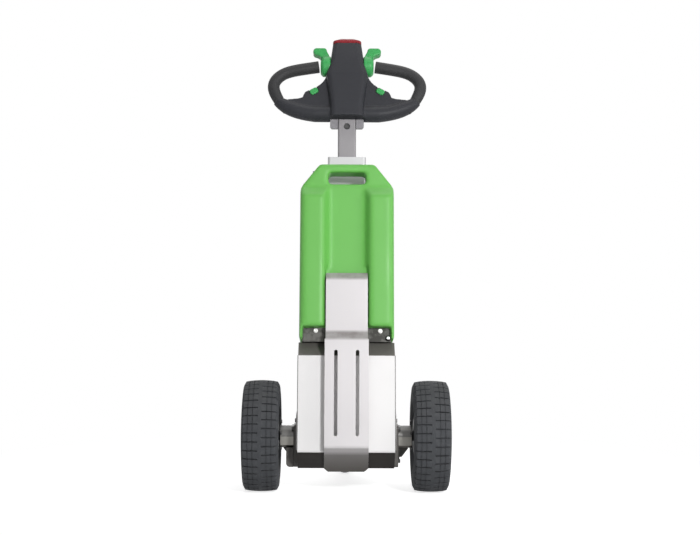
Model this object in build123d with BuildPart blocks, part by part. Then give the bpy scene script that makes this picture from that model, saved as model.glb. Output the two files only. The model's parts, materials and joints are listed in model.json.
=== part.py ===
"""Pedestrian electric tug: two driven wheels, a rear castor and a leaning steering column.

Units are millimetres. +X is to the right seen from the coupling side, +Y points from the
coupling to the operator and +Z is up. The floor is Z = 0 and the origin is the middle of the
footprint. The whole body leans back, so most pieces are drawn in a leaning frame whose origin
is the middle of the axle: x across, `depth` backwards and `rise` up along the column.
"""

from build123d import *
from math import cos, radians, sin, sqrt
import os

# ---------------------------------------------------------------- stance
AXLE_HEIGHT = 130.0  # radius of the drive tyres
LEAN = 10.0  # degrees that the body leans back
CHASSIS_DROP = 70.5  # from the axle down to the underside of the chassis pan
SEAT_FIT = 0.2  # play round a piece that sits in a seat
RUNNING_FIT = 0.05  # play of a shaft in its bore

# ---------------------------------------------------------------- drive wheels
TYRE_WIDTH = 86.0
TREAD_WIDTH = 74.0
TREAD_CROWN = 3.0  # fall of the tread from its middle to its edges
SHOULDER_DROP = 12.0  # from the crown down to the shoulder's foot
SHOULDER_IN = 1.5  # the shoulder's foot stands in from the widest point
SIDEWALL_DROP = 34.0  # from the crown down to the widest point
BEAD_RADIUS = 62.0
BEAD_WIDTH = 66.0
RIM_WALL = 3.5
RIM_FLANGE = 3.0
RIM_LIP = 5.0  # height of the rim's flanges over the bead
RIM_DISC = 5.0
RIM_DISH = 10.0  # how far the disc is dished outwards
RIM_FLAT = 44.0  # radius of the disc's flat middle
HUB_INSET = 39.0  # from the tyre's middle in to the hub's flange
HUB_FLANGE_RADIUS = 40.0
HUB_FLANGE = 8.0
HUB_NOSE_RADIUS = 24.0
HUB_NOSE = 26.0
HUB_CHAMFER = 4.0
HUB_GAP = 5.0  # between the hub's flange and the axle housing
SHAFT_RADIUS = 12.0
SHAFT_DEPTH = 32.0  # how far the shaft runs into its housing
SHAFT_END_GAP = 1.0

# ---------------------------------------------------------------- axle housings
HOUSING_RADIUS = 24.5
HOUSING_LENGTH = 42.0  # from the chassis side to the gap at the hub
HOUSING_FOOT = 25.0  # flat foot below the axle
HOUSING_CHAMFER = 5.0
FLANGE_PLATE = 10.0
FLANGE_LENGTH = 64.0
FLANGE_ABOVE = 27.0
FLANGE_ROUND = 8.0
GUSSET = 12.0
GUSSET_DROP = 24.0
GUSSET_TOE = 9.0
BRAKE_BLOCK_WIDTH = 17.5
BRAKE_BLOCK_DROP = 45.0
BRAKE_BLOCK_LENGTH = 26.0
BRAKE_BLOCK_ROUND = 9.0

# ---------------------------------------------------------------- chassis
CHASSIS_WIDTH = 225.0
SHEET = 2.5
SIDE_PLATE = 4.0
PANEL_DEPTH = -85.0
PANEL_LOW = -42.0
PANEL_HIGH = 182.0
DECK_RISE = 215.0
DECK_FRONT = -52.0
COVER_BEND = 8.0
SHOULDER_BEND = 3.0
PAN_BEND = 6.0
PAN_DEEP = 42.0  # height of the pan's turned-up front
PAN_LEDGE = 14.0  # strip of the rear cover under the castor's arm
DRIVE_GAP = 8.5  # round the drive unit
DRIVE_LENGTH = 70.0
DRIVE_TALL = 120.0

# ---------------------------------------------------------------- coupling strap
STRAP = 8.0
STRAP_WIDTH = 102.0
STRAP_NECK_WIDTH = 98.0
STRAP_FACE = -110.0
STRAP_STEP_RISE = 217.0
STRAP_STEP = 19.0
STRAP_LIP_RISE = 361.0
STRAP_LIP_BACK = 16.0
STRAP_BEND = 10.0
STRAP_FOOT = 60.0
STRAP_FOOT_CHAMFER = 9.0
SLOT_WIDTH = 8.0
SLOT_SPACING = 50.0
SLOT_LOW = -7.0
SLOT_HIGH = 191.0

# ---------------------------------------------------------------- battery and tray
TRAY = 4.0
TRAY_LIP = 34.0  # height of the lip over the deck
TRAY_FIT = 0.5  # between the tray's lip and the battery's side walls
BATTERY_INSET = 2.0  # the battery's sides stand in from the chassis
BATTERY_FACE = -88.0
BATTERY_WING = 6.0  # side walls that come down outside the tray's lip
BATTERY_BASE_FACE = -60.0
TRAY_LIP_OVER = 1.0  # room above the tray's lip
BATTERY_BODY_TOP = 585.0
BATTERY_TOP = 643.0
BATTERY_ROUND = 14.0
COLUMN_SLOPE = 23.0  # fall of the columns' sloping tops
COLUMN_TOP_ROUND = 8.0
RECESS_FACE = -66.0
RECESS_HALF = 42.0
RECESS_DRAFT = 14.0  # each side wall of the recess opens by this much
RECESS_ROUND = 6.0
STRAP_FIT = 0.5
POCKET_RISE = 31.0  # the pocket's room above the strap's lip
HANDLE_PLATE = 56.0
HANDLE_SHOULDER_IN = 3.5
HANDLE_SHOULDER_UP = 5.0
HANDLE_TOP_HALF = 65.0
HANDLE_ROUND = 6.0
HANDLE_SLOT_WIDTH = 91.0
HANDLE_SLOT_HEIGHT = 31.0
HANDLE_SLOT_ROUND = 9.0
HANDLE_SLOT_DROP = 34.0  # from the plate's top to the slot's middle
LOCK_RADIUS = 6.0
LOCK_LENGTH = 14.0
LOCK_MARGIN = 0.5
LOCK_OVER = 2.5  # from the deck up to the lock
LOCK_CHAMFER = 1.5

# ---------------------------------------------------------------- column and tiller
COLUMN_WIDTH = 94.0
COLUMN_DEEP = 50.0
COLUMN_WALL = 3.0
COLUMN_FACE = 36.0  # depth of the column's front wall
COLUMN_OVER_ARM = 9.0  # clearance over the castor's arm
COLUMN_HIGH = 44.0  # above the battery's top
COLUMN_ROUND = 6.0
TILLER_WIDTH = 45.0
TILLER_DEEP = 30.0
TILLER_WALL = 2.5
TILLER_BOTTOM = 460.0
TILLER_ROUND = 4.0
TILLER_HOLE = 8.0
TILLER_HOLE_RISE = 768.0
GUIDE_FIT = 0.3
GUIDE_LENGTH = 60.0
KNOB_DROP = 35.0  # from the column's top
KNOB_REACH = 41.0
KNOB_RADIUS = 12.0
KNOB_LOBE = 3.5
KNOB_LOBES = 6
KNOB_LENGTH = 18.0
KNOB_STEM = 4.0
CLEVIS_WIDTH = 84.0
CLEVIS_TALL = 22.0
CLEVIS_WALL = 4.0
CLEVIS_CHAMFER = 4.0

# ---------------------------------------------------------------- castor
CASTOR_AFT = 262.0  # swivel axis behind the axle
CASTOR_TRAIL = 32.0
CASTOR_RADIUS = 40.0
CASTOR_WIDTH = 26.0
CASTOR_CROWN = 3.0
CASTOR_CORE_RADIUS = 30.0
CASTOR_BOSS = 35.0
CASTOR_BOSS_RADIUS = 12.0
CASTOR_WEB = 8.0
CASTOR_FLANGE = 18.0
CASTOR_FLANGE_WALL = 4.0
CASTOR_PIN = 5.0
CASTOR_PIN_HEAD = 3.0
FORK_GAP = 38.0
FORK_LEG = 4.0
FORK_OVER = 5.5  # between the castor tyre and the fork's crown
FORK_CROWN = 5.0
FORK_CROWN_RADIUS = 27.0
FORK_LEG_TOP = 32.0
FORK_EYE = 10.0
KINGPIN_RADIUS = 8.0
SWIVEL_GAP = 0.5
SWIVEL_RADIUS = 24.0
SWIVEL_CAP = 4.0
ARM_END_RADIUS = 34.0
ARM_ROOT = 120.0
ARM_DEEP = 30.0
ARM_WALL = 4.0
ARM_OVER = 9.5  # from the fork's crown up to the arm
ARM_INSIDE = 32.0  # the arm's cross plate, behind the axle
ARM_CROSS = 8.0

# ---------------------------------------------------------------- steering head
HEAD_LEAN = 20.0
HEAD_RISE = 770.0  # where the head's own frame starts, up the tiller
HEAD_INSET = 16.0  # the head's frame lies in front of the column's middle
HEAD_BASE = 15.0  # underside of the bars
HUB_BASE = 20.0  # underside of the hub
HEAD_TOP = 218.0
HUB_ROUND = 14.0
WING_FRONT = 11.0
WING_BACK = 17.0
BAR_RADIUS = 20.0
GRIP_RADIUS = 14.0
LEVER_RISE = 161.0
LEVER_IN = 42.0
LEVER_THICK = 24.0
LEVER_RADIUS = 25.0
LEVER_CHAMFER = 6.0
LEVER_DEEP = 22.0
LEVER_SHAFT = 5.0
HORN_ALONG = 21.0
HORN_TALL = 15.0
HORN_DEEP = 20.0
HORN_ROUND = 5.0
HORN_OUT = 4.0  # how far the button stands out of the wing
STOP_TALL = 14.0
STOP_SLOPE = 7.0  # height of the sloping sides
STOP_TAPER = 14.0  # how far they lean in
STOP_ROUND = 12.0

SIDES = {"left": -1.0, "right": 1.0}
HALF_CHASSIS = CHASSIS_WIDTH / 2
HALF_TRACK = HALF_CHASSIS + HOUSING_LENGTH + HUB_GAP + HUB_INSET
REACH_AFT = CASTOR_AFT + CASTOR_TRAIL + CASTOR_RADIUS  # the castor wheel's rearmost point
AXLE_Y = (AXLE_HEIGHT - REACH_AFT) / 2  # puts the middle of the footprint at Y = 0
CASTOR_Y = AXLE_Y + CASTOR_AFT
CHASSIS_BOTTOM = AXLE_HEIGHT - CHASSIS_DROP
COLUMN_MIDDLE = COLUMN_FACE + COLUMN_DEEP / 2
COLUMN_TOP = BATTERY_TOP + COLUMN_HIGH
REAR_DEPTH = COLUMN_FACE + COLUMN_DEEP + SHEET
FORK_CROWN_LOW = 2 * CASTOR_RADIUS + FORK_OVER
FORK_CROWN_TOP = FORK_CROWN_LOW + FORK_CROWN
ARM_LOW = FORK_CROWN_TOP + ARM_OVER
ARM_HIGH = ARM_LOW + ARM_DEEP
BATTERY_WIDTH = CHASSIS_WIDTH - 2 * BATTERY_INSET
TRAY_LIP_RISE = DECK_RISE + TRAY_LIP
TILT = radians(LEAN)
HEAD_TILT = radians(HEAD_LEAN)

# ---------------------------------------------------------------- frames
AXLE = Plane(origin=(0, AXLE_Y, AXLE_HEIGHT))
BODY = Plane(origin=AXLE.origin, x_dir=(1, 0, 0), z_dir=(0, sin(TILT), cos(TILT)))
SIDE = Plane(origin=BODY.origin, x_dir=BODY.y_dir, z_dir=BODY.x_dir)  # (depth, rise)
FRONT = Plane(origin=BODY.origin, x_dir=BODY.x_dir, z_dir=-BODY.y_dir)  # (x, rise)


def above(rise):
    """The plane square to the column at a height along it, drawn in (x, depth)."""
    return BODY.offset(rise)


def at_depth(depth):
    """The plane across the machine at a depth, drawn in (x, rise), facing forward."""
    return FRONT.offset(-depth)


def leaning(aft, height):
    """Depth and rise of a point given by its distance behind the axle and its height."""
    drop = height - AXLE_HEIGHT
    return (aft * cos(TILT) - drop * sin(TILT), aft * sin(TILT) + drop * cos(TILT))


def level(depth, rise):
    """Distance behind the axle and height of a point of the leaning frame."""
    return (
        depth * cos(TILT) + rise * sin(TILT),
        AXLE_HEIGHT + rise * cos(TILT) - depth * sin(TILT),
    )


head_aft, head_height = level(COLUMN_MIDDLE - HEAD_INSET, HEAD_RISE)
HEAD = Plane(
    origin=(0, AXLE_Y + head_aft, head_height),
    x_dir=(1, 0, 0),
    z_dir=(0, sin(HEAD_TILT), cos(HEAD_TILT)),
)
HEAD_FRONT = Plane(origin=HEAD.origin, x_dir=HEAD.x_dir, z_dir=-HEAD.y_dir)  # (x, height)


def across_head(x, height, facing):
    """The plane square to the head's width at a point of it, facing left or right."""
    origin = HEAD.from_local_coords(Vector(x, 0, height))
    return Plane(origin=origin, x_dir=HEAD.y_dir, z_dir=(facing, 0, 0))


def mirrored(points, side):
    """Points of the head's front view, given for the right side, on the side asked for."""
    return [(side * x, height) for x, height in points]


made = {}


def keep(name, part):
    """Label a finished piece and write it under its own name."""
    part.label = name
    made[name] = part


# ---------------------------------------------------------------- drive wheels
for name, side in SIDES.items():
    spin = Axis((0, AXLE_Y, AXLE_HEIGHT), (1, 0, 0))
    profile = Plane(  # radius along x, distance outwards along y
        origin=(side * HALF_TRACK, AXLE_Y, AXLE_HEIGHT), x_dir=(0, 0, 1), z_dir=(0, side, 0)
    )
    lip_radius = BEAD_RADIUS + RIM_LIP
    with BuildPart() as tyre:
        with BuildSketch(profile):
            with BuildLine():
                tread_edge = (AXLE_HEIGHT - TREAD_CROWN, TREAD_WIDTH / 2)
                shoulder = (AXLE_HEIGHT - SHOULDER_DROP, TYRE_WIDTH / 2 - SHOULDER_IN)
                widest = (AXLE_HEIGHT - SIDEWALL_DROP, TYRE_WIDTH / 2)
                lip = (lip_radius, BEAD_WIDTH / 2 + RIM_FLANGE)
                ThreePointArc((tread_edge[0], -tread_edge[1]), (AXLE_HEIGHT, 0), tread_edge)
                Line(tread_edge, shoulder)
                TangentArc(widest, shoulder, tangent=(1, 0))
                TangentArc(widest, lip, tangent=(-1, 0))
                Polyline(lip, (lip_radius, BEAD_WIDTH / 2), (BEAD_RADIUS, BEAD_WIDTH / 2),
                         (BEAD_RADIUS, 0))
                Line((BEAD_RADIUS, 0), (BEAD_RADIUS, -BEAD_WIDTH / 2))
                Polyline((BEAD_RADIUS, -BEAD_WIDTH / 2), (lip_radius, -BEAD_WIDTH / 2),
                         (lip[0], -lip[1]))
                TangentArc((widest[0], -widest[1]), (lip[0], -lip[1]), tangent=(-1, 0))
                TangentArc((widest[0], -widest[1]), (shoulder[0], -shoulder[1]), tangent=(1, 0))
                Line((shoulder[0], -shoulder[1]), (tread_edge[0], -tread_edge[1]))
            make_face()
        revolve(axis=spin)
    keep(f"tyre_{name}", tyre.part)

    flange_out = HUB_FLANGE - HUB_INSET  # outer face of the hub's flange
    well_radius = BEAD_RADIUS - RIM_WALL
    flange_edge = BEAD_WIDTH / 2 + RIM_FLANGE
    with BuildPart() as rim:
        with BuildSketch(profile):
            with BuildLine():
                Polyline(
                    (HUB_NOSE_RADIUS + SEAT_FIT, flange_out),
                    (RIM_FLAT, flange_out),
                    (well_radius, flange_out + RIM_DISH),
                    (well_radius, -flange_edge),
                    (lip_radius - SEAT_FIT, -flange_edge),
                    (lip_radius - SEAT_FIT, -BEAD_WIDTH / 2),
                    (BEAD_RADIUS, -BEAD_WIDTH / 2),
                    (BEAD_RADIUS, BEAD_WIDTH / 2),
                    (lip_radius - SEAT_FIT, BEAD_WIDTH / 2),
                    (lip_radius - SEAT_FIT, flange_edge),
                    (well_radius, flange_edge),
                    (well_radius, flange_out + RIM_DISH + RIM_DISC),
                    (RIM_FLAT, flange_out + RIM_DISC),
                    (HUB_NOSE_RADIUS + SEAT_FIT, flange_out + RIM_DISC),
                    close=True,
                )
            make_face()
        revolve(axis=spin)
    keep(f"rim_{name}", rim.part)

    nose_end = flange_out + HUB_NOSE
    with BuildPart() as hub:
        with BuildSketch(profile):
            with BuildLine():
                Polyline(
                    (0, -HUB_INSET - HUB_GAP - SHAFT_DEPTH),
                    (SHAFT_RADIUS, -HUB_INSET - HUB_GAP - SHAFT_DEPTH),
                    (SHAFT_RADIUS, -HUB_INSET),
                    (HUB_FLANGE_RADIUS, -HUB_INSET),
                    (HUB_FLANGE_RADIUS, flange_out),
                    (HUB_NOSE_RADIUS, flange_out),
                    (HUB_NOSE_RADIUS, nose_end - HUB_CHAMFER),
                    (HUB_NOSE_RADIUS - HUB_CHAMFER, nose_end),
                    (0, nose_end),
                    close=True,
                )
            make_face()
        revolve(axis=spin)
    keep(f"hub_{name}", hub.part)

    outer_face = HALF_CHASSIS + HOUSING_LENGTH
    plate_face = HALF_CHASSIS + FLANGE_PLATE
    plate_tall = FLANGE_ABOVE + CHASSIS_DROP
    with BuildPart() as housing:
        with BuildSketch(Plane(origin=(side * HALF_CHASSIS, AXLE_Y, AXLE_HEIGHT),
                               x_dir=(0, 1, 0), z_dir=(side, 0, 0))):
            Circle(HOUSING_RADIUS)
        extrude(amount=HOUSING_LENGTH)
        with Locations((side * (HALF_CHASSIS + HOUSING_LENGTH / 2), AXLE_Y,
                        AXLE_HEIGHT - HOUSING_FOOT / 2)):
            Box(HOUSING_LENGTH, 2 * HOUSING_RADIUS, HOUSING_FOOT)
        underside = housing.edges().filter_by(Axis.X).group_by(Axis.Z)[0]
        chamfer(underside, HOUSING_CHAMFER)
        with BuildSketch(Plane(origin=(side * HALF_CHASSIS, AXLE_Y,
                                       CHASSIS_BOTTOM + plate_tall / 2),
                               x_dir=(0, 1, 0), z_dir=(side, 0, 0))):
            RectangleRounded(FLANGE_LENGTH, plate_tall, FLANGE_ROUND)
        extrude(amount=FLANGE_PLATE)
        with BuildSketch(Plane(origin=(0, AXLE_Y, AXLE_HEIGHT - HOUSING_FOOT),
                               x_dir=(1, 0, 0), z_dir=(0, -1, 0))):
            with BuildLine():
                Polyline(
                    (side * plate_face, 0),
                    (side * (outer_face - HOUSING_CHAMFER), 0),
                    (side * (plate_face + GUSSET_TOE), -GUSSET_DROP),
                    (side * plate_face, -GUSSET_DROP),
                    close=True,
                )
            make_face()
        extrude(amount=GUSSET / 2, both=True)
        with BuildSketch(Plane(origin=(side * outer_face, AXLE_Y, AXLE_HEIGHT),
                               x_dir=(0, 1, 0), z_dir=(side, 0, 0))):
            Circle(SHAFT_RADIUS + RUNNING_FIT)
        extrude(amount=-SHAFT_DEPTH - SHAFT_END_GAP, mode=Mode.SUBTRACT)
    keep(f"axle_housing_{name}", housing.part)

block_face = HALF_CHASSIS + FLANGE_PLATE
block_out = block_face + BRAKE_BLOCK_WIDTH
block_top = AXLE_HEIGHT - HOUSING_FOOT
block_front = AXLE_Y - GUSSET / 2 - BRAKE_BLOCK_LENGTH
with BuildPart() as brake_block:
    with BuildSketch(Plane(origin=(0, block_front, 0), x_dir=(1, 0, 0), z_dir=(0, 1, 0))):
        with BuildLine():
            FilletPolyline(
                (-block_face, -block_top),
                (-block_out, -block_top),
                (-block_out, BRAKE_BLOCK_DROP - block_top),
                (-block_face, BRAKE_BLOCK_DROP - block_top),
                radius=(0, 0, BRAKE_BLOCK_ROUND, 0),
                close=True,
            )
        make_face()
    extrude(amount=BRAKE_BLOCK_LENGTH)
keep("brake_block_left", brake_block.part)

# ---------------------------------------------------------------- chassis
low_aft, low_height = level(PANEL_DEPTH, PANEL_LOW)
foot_aft = low_aft + low_height - CHASSIS_BOTTOM  # the facet under the panel runs at 45 degrees
rear_foot = (REAR_DEPTH, (CHASSIS_BOTTOM - AXLE_HEIGHT + REAR_DEPTH * sin(TILT)) / cos(TILT))

with BuildSketch() as section:  # the chassis from the side, in (depth, rise)
    with BuildLine():
        FilletPolyline(
            leaning(foot_aft, CHASSIS_BOTTOM),
            (PANEL_DEPTH, PANEL_LOW),
            (PANEL_DEPTH, PANEL_HIGH),
            (DECK_FRONT, DECK_RISE),
            (REAR_DEPTH, DECK_RISE),
            rear_foot,
            radius=(PAN_BEND, COVER_BEND, SHOULDER_BEND, PAN_BEND, PAN_BEND, PAN_BEND),
            close=True,
        )
    make_face()

with BuildSketch() as wall:  # the sheet metal round that section
    add(section.sketch)
    offset(amount=-SHEET, kind=Kind.INTERSECTION, mode=Mode.SUBTRACT)

with BuildSketch(Plane.XY.offset(ARM_LOW)) as arm_plan:  # the castor's arm from above
    with Locations((0, CASTOR_Y)):
        Circle(ARM_END_RADIUS)
    with Locations((0, AXLE_Y + ARM_INSIDE + ARM_CROSS / 2)):
        Rectangle(ARM_ROOT, ARM_CROSS)
    make_hull()

with BuildPart() as skin:
    with BuildSketch(SIDE):
        add(wall.sketch)
    extrude(amount=HALF_CHASSIS, both=True)

pan_fall = CHASSIS_BOTTOM + PAN_DEEP - (ARM_LOW - PAN_LEDGE)  # from its front to its back
pan_edge = Plane(
    origin=(0, AXLE_Y + PANEL_DEPTH, CHASSIS_BOTTOM + PAN_DEEP),
    x_dir=(1, 0, 0),
    z_dir=(0, pan_fall, REAR_DEPTH - PANEL_DEPTH),
)
shoulder_edge = above(PANEL_HIGH - SHOULDER_BEND / 2)
column_front = at_depth(COLUMN_FACE)

with BuildPart() as cover:
    add(skin.part)
    split(bisect_by=pan_edge, keep=Keep.TOP)
    split(bisect_by=shoulder_edge, keep=Keep.BOTTOM)
    split(bisect_by=column_front, keep=Keep.TOP)
keep("chassis_cover", cover.part)

for name, side in SIDES.items():
    with BuildPart() as plate:
        with BuildSketch(SIDE.offset(side * (HALF_CHASSIS - SIDE_PLATE / 2))):
            add(section.sketch)
            offset(amount=-SHEET, kind=Kind.INTERSECTION, mode=Mode.REPLACE)
        extrude(amount=SIDE_PLATE / 2, both=True)
    keep(f"side_plate_{name}", plate.part)

with BuildPart() as rear:
    add(skin.part)
    split(bisect_by=pan_edge, keep=Keep.TOP)
    split(bisect_by=column_front, keep=Keep.BOTTOM)
    with BuildSketch(above(DECK_RISE - PAN_BEND)):
        with Locations((0, COLUMN_MIDDLE)):
            RectangleRounded(COLUMN_WIDTH, COLUMN_DEEP, COLUMN_ROUND)
    extrude(amount=PAN_BEND, mode=Mode.SUBTRACT)
    add(arm_plan.sketch)
    extrude(amount=ARM_DEEP, mode=Mode.SUBTRACT)
keep("rear_cover", rear.part)

with BuildPart() as pan:
    add(skin.part)
    split(bisect_by=pan_edge, keep=Keep.BOTTOM)
keep("floor_plate", pan.part)

drive_front = AXLE_Y + foot_aft + DRIVE_GAP
drive_width = CHASSIS_WIDTH - 2 * (SIDE_PLATE + DRIVE_GAP)
with BuildPart() as drive_unit:
    with Locations((0, drive_front + DRIVE_LENGTH / 2, CHASSIS_BOTTOM + SHEET + DRIVE_TALL / 2)):
        Box(drive_width, DRIVE_LENGTH, DRIVE_TALL)
keep("drive_unit", drive_unit.part)

# ---------------------------------------------------------------- coupling strap
foot_height = CHASSIS_BOTTOM - STRAP
strap_foot_aft = foot_aft + STRAP * (1 - sqrt(2))
# the strap's lower bend is where its front face meets the 45 degree facet
facet_sum = strap_foot_aft + foot_height - AXLE_HEIGHT
strap_bend_rise = (facet_sum - STRAP_FACE * (cos(TILT) - sin(TILT))) / (cos(TILT) + sin(TILT))
strap_top = (STRAP_FACE + STRAP_STEP + STRAP_LIP_BACK, STRAP_LIP_RISE + STRAP_LIP_BACK)
neck_cut = (STRAP_WIDTH - STRAP_NECK_WIDTH) / 2
with BuildPart() as strap:
    with BuildSketch(SIDE):
        with BuildLine():
            FilletPolyline(
                leaning(strap_foot_aft + STRAP_FOOT, foot_height),
                leaning(strap_foot_aft, foot_height),
                (STRAP_FACE, strap_bend_rise),
                (STRAP_FACE, STRAP_STEP_RISE),
                (STRAP_FACE + STRAP_STEP, STRAP_STEP_RISE + STRAP_STEP),
                (STRAP_FACE + STRAP_STEP, STRAP_LIP_RISE),
                strap_top,
                radius=STRAP_BEND,
            )
            offset(amount=STRAP, side=Side.RIGHT)
        make_face()
    extrude(amount=STRAP_WIDTH / 2, both=True)
    for side in SIDES.values():
        edge = side * STRAP_WIDTH / 2
        # the neck above the lower bend of the step is a little narrower
        with BuildSketch(at_depth(0)):
            with Locations((edge, (STRAP_STEP_RISE + strap_top[1] + STRAP) / 2)):
                Rectangle(2 * neck_cut, strap_top[1] + STRAP - STRAP_STEP_RISE)
        extrude(amount=-2 * STRAP_FACE, mode=Mode.SUBTRACT)
        # the lower corners are cut off
        with BuildSketch(Plane.XZ.offset(-AXLE_Y)):
            with BuildLine():
                Polyline(
                    (edge, foot_height + STRAP_FOOT_CHAMFER),
                    (edge, foot_height),
                    (edge - side * STRAP_FOOT_CHAMFER, foot_height),
                    close=True,
                )
            make_face()
        extrude(amount=-2 * STRAP_FACE, both=True, mode=Mode.SUBTRACT)
        with BuildSketch(at_depth(0)):
            with Locations((side * SLOT_SPACING / 2, (SLOT_LOW + SLOT_HIGH) / 2)):
                SlotOverall(SLOT_HIGH - SLOT_LOW, SLOT_WIDTH, rotation=90)
        extrude(amount=-2 * STRAP_FACE, mode=Mode.SUBTRACT)
keep("coupling_strap", strap.part)

# ---------------------------------------------------------------- battery and tray
tray_front = BATTERY_BASE_FACE - TRAY
tray_half = BATTERY_WIDTH / 2 - BATTERY_WING - TRAY_FIT
with BuildPart() as tray:
    add(skin.part)
    split(bisect_by=shoulder_edge, keep=Keep.TOP)
    split(bisect_by=column_front, keep=Keep.TOP)
    with BuildSketch(SIDE):
        with BuildLine():
            Polyline(
                (tray_front, DECK_RISE),
                (COLUMN_FACE, DECK_RISE),
                (COLUMN_FACE, DECK_RISE + TRAY),
                (BATTERY_BASE_FACE, DECK_RISE + TRAY),
                (BATTERY_BASE_FACE, TRAY_LIP_RISE),
                (tray_front, TRAY_LIP_RISE),
                close=True,
            )
        make_face()
    extrude(amount=tray_half, both=True)
keep("battery_tray", tray.part)

with BuildPart() as lock:
    with BuildSketch(at_depth(tray_front)):
        with Locations((tray_half - LOCK_RADIUS - LOCK_MARGIN,
                        DECK_RISE + LOCK_OVER + LOCK_RADIUS)):
            Circle(LOCK_RADIUS)
    extrude(amount=LOCK_LENGTH)
    chamfer(lock.faces().sort_by(Axis.Y)[0].edges(), LOCK_CHAMFER)
keep("battery_lock", lock.part)

recess_mouth = RECESS_HALF + RECESS_DRAFT
half_battery = BATTERY_WIDTH / 2
pocket_half = STRAP_WIDTH / 2 + STRAP_FIT
shoulder_half = half_battery - HANDLE_SHOULDER_IN
with BuildPart() as battery:
    with BuildSketch(above(DECK_RISE + TRAY)):
        with BuildLine():
            FilletPolyline(
                (-half_battery, COLUMN_FACE),
                (-half_battery, BATTERY_FACE),
                (-recess_mouth, BATTERY_FACE),
                (-RECESS_HALF, RECESS_FACE),
                (RECESS_HALF, RECESS_FACE),
                (recess_mouth, BATTERY_FACE),
                (half_battery, BATTERY_FACE),
                (half_battery, COLUMN_FACE),
                radius=(RECESS_ROUND, BATTERY_ROUND, RECESS_ROUND, RECESS_ROUND,
                        RECESS_ROUND, RECESS_ROUND, BATTERY_ROUND, RECESS_ROUND),
                close=True,
            )
        make_face()
    extrude(amount=BATTERY_BODY_TOP - DECK_RISE - TRAY)
    # the columns' upper ends slope back to the handle plate, rounded where the slope starts
    with BuildSketch(SIDE):
        with BuildLine():
            crest = (BATTERY_FACE, BATTERY_BODY_TOP - COLUMN_SLOPE)
            FilletPolyline((crest[0], crest[1] - 2 * COLUMN_TOP_ROUND), crest,
                           (RECESS_FACE, BATTERY_BODY_TOP), radius=COLUMN_TOP_ROUND)
            Polyline((RECESS_FACE, BATTERY_BODY_TOP), (crest[0] - HANDLE_PLATE, BATTERY_BODY_TOP),
                     (crest[0] - HANDLE_PLATE, crest[1] - 2 * COLUMN_TOP_ROUND),
                     (crest[0], crest[1] - 2 * COLUMN_TOP_ROUND))
        make_face()
    extrude(amount=half_battery, both=True, mode=Mode.SUBTRACT)
    # room for the tray's lip, between the side walls
    with BuildSketch(above(DECK_RISE + TRAY)):
        with Locations((0, (BATTERY_FACE + BATTERY_BASE_FACE) / 2)):
            Rectangle(2 * (half_battery - BATTERY_WING), BATTERY_BASE_FACE - BATTERY_FACE)
    extrude(amount=TRAY_LIP_RISE + TRAY_LIP_OVER - DECK_RISE - TRAY, mode=Mode.SUBTRACT)
    # the pocket that lets the coupling strap stand in the recess
    with BuildSketch(above(DECK_RISE + TRAY)):
        with Locations((0, (BATTERY_FACE + RECESS_FACE) / 2)):
            Rectangle(2 * pocket_half, RECESS_FACE - BATTERY_FACE)
    extrude(amount=STRAP_LIP_RISE + POCKET_RISE - DECK_RISE - TRAY, mode=Mode.SUBTRACT)
    # the handle plate
    with BuildSketch(at_depth(RECESS_FACE)):
        with BuildLine():
            FilletPolyline(
                (-shoulder_half, BATTERY_BODY_TOP - HANDLE_PLATE),
                (shoulder_half, BATTERY_BODY_TOP - HANDLE_PLATE),
                (shoulder_half, BATTERY_BODY_TOP + HANDLE_SHOULDER_UP),
                (HANDLE_TOP_HALF, BATTERY_TOP),
                (-HANDLE_TOP_HALF, BATTERY_TOP),
                (-shoulder_half, BATTERY_BODY_TOP + HANDLE_SHOULDER_UP),
                radius=HANDLE_ROUND,
                close=True,
            )
        make_face()
    extrude(amount=-HANDLE_PLATE)
    with BuildSketch(at_depth(RECESS_FACE)):
        with Locations((0, BATTERY_TOP - HANDLE_SLOT_DROP)):
            RectangleRounded(HANDLE_SLOT_WIDTH, HANDLE_SLOT_HEIGHT, HANDLE_SLOT_ROUND)
    extrude(amount=-HANDLE_PLATE, mode=Mode.SUBTRACT)
keep("battery_housing", battery.part)

# ---------------------------------------------------------------- column and tiller
column_back = COLUMN_FACE + COLUMN_DEEP
column_bottom = (ARM_HIGH + COLUMN_OVER_ARM - AXLE_HEIGHT + column_back * sin(TILT)) / cos(TILT)
inner_width = COLUMN_WIDTH - 2 * COLUMN_WALL
inner_deep = COLUMN_DEEP - 2 * COLUMN_WALL
knob_start = TILLER_WIDTH / 2 + GUIDE_FIT
knob_end = COLUMN_WIDTH / 2 + KNOB_REACH
knob_plane = Plane(
    origin=BODY.from_local_coords(Vector(-knob_start, COLUMN_MIDDLE, COLUMN_TOP - KNOB_DROP)),
    x_dir=BODY.y_dir,
    z_dir=(-1, 0, 0),
)

with BuildPart() as column:
    with BuildSketch(above(column_bottom)):
        with Locations((0, COLUMN_MIDDLE)):
            RectangleRounded(COLUMN_WIDTH, COLUMN_DEEP, COLUMN_ROUND)
            RectangleRounded(inner_width, inner_deep, COLUMN_ROUND - COLUMN_WALL,
                             mode=Mode.SUBTRACT)
    extrude(amount=COLUMN_TOP - column_bottom)
    with BuildSketch(knob_plane):
        Circle(KNOB_STEM + SEAT_FIT)
    extrude(amount=COLUMN_WIDTH / 2, mode=Mode.SUBTRACT)
keep("column", column.part)

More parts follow.
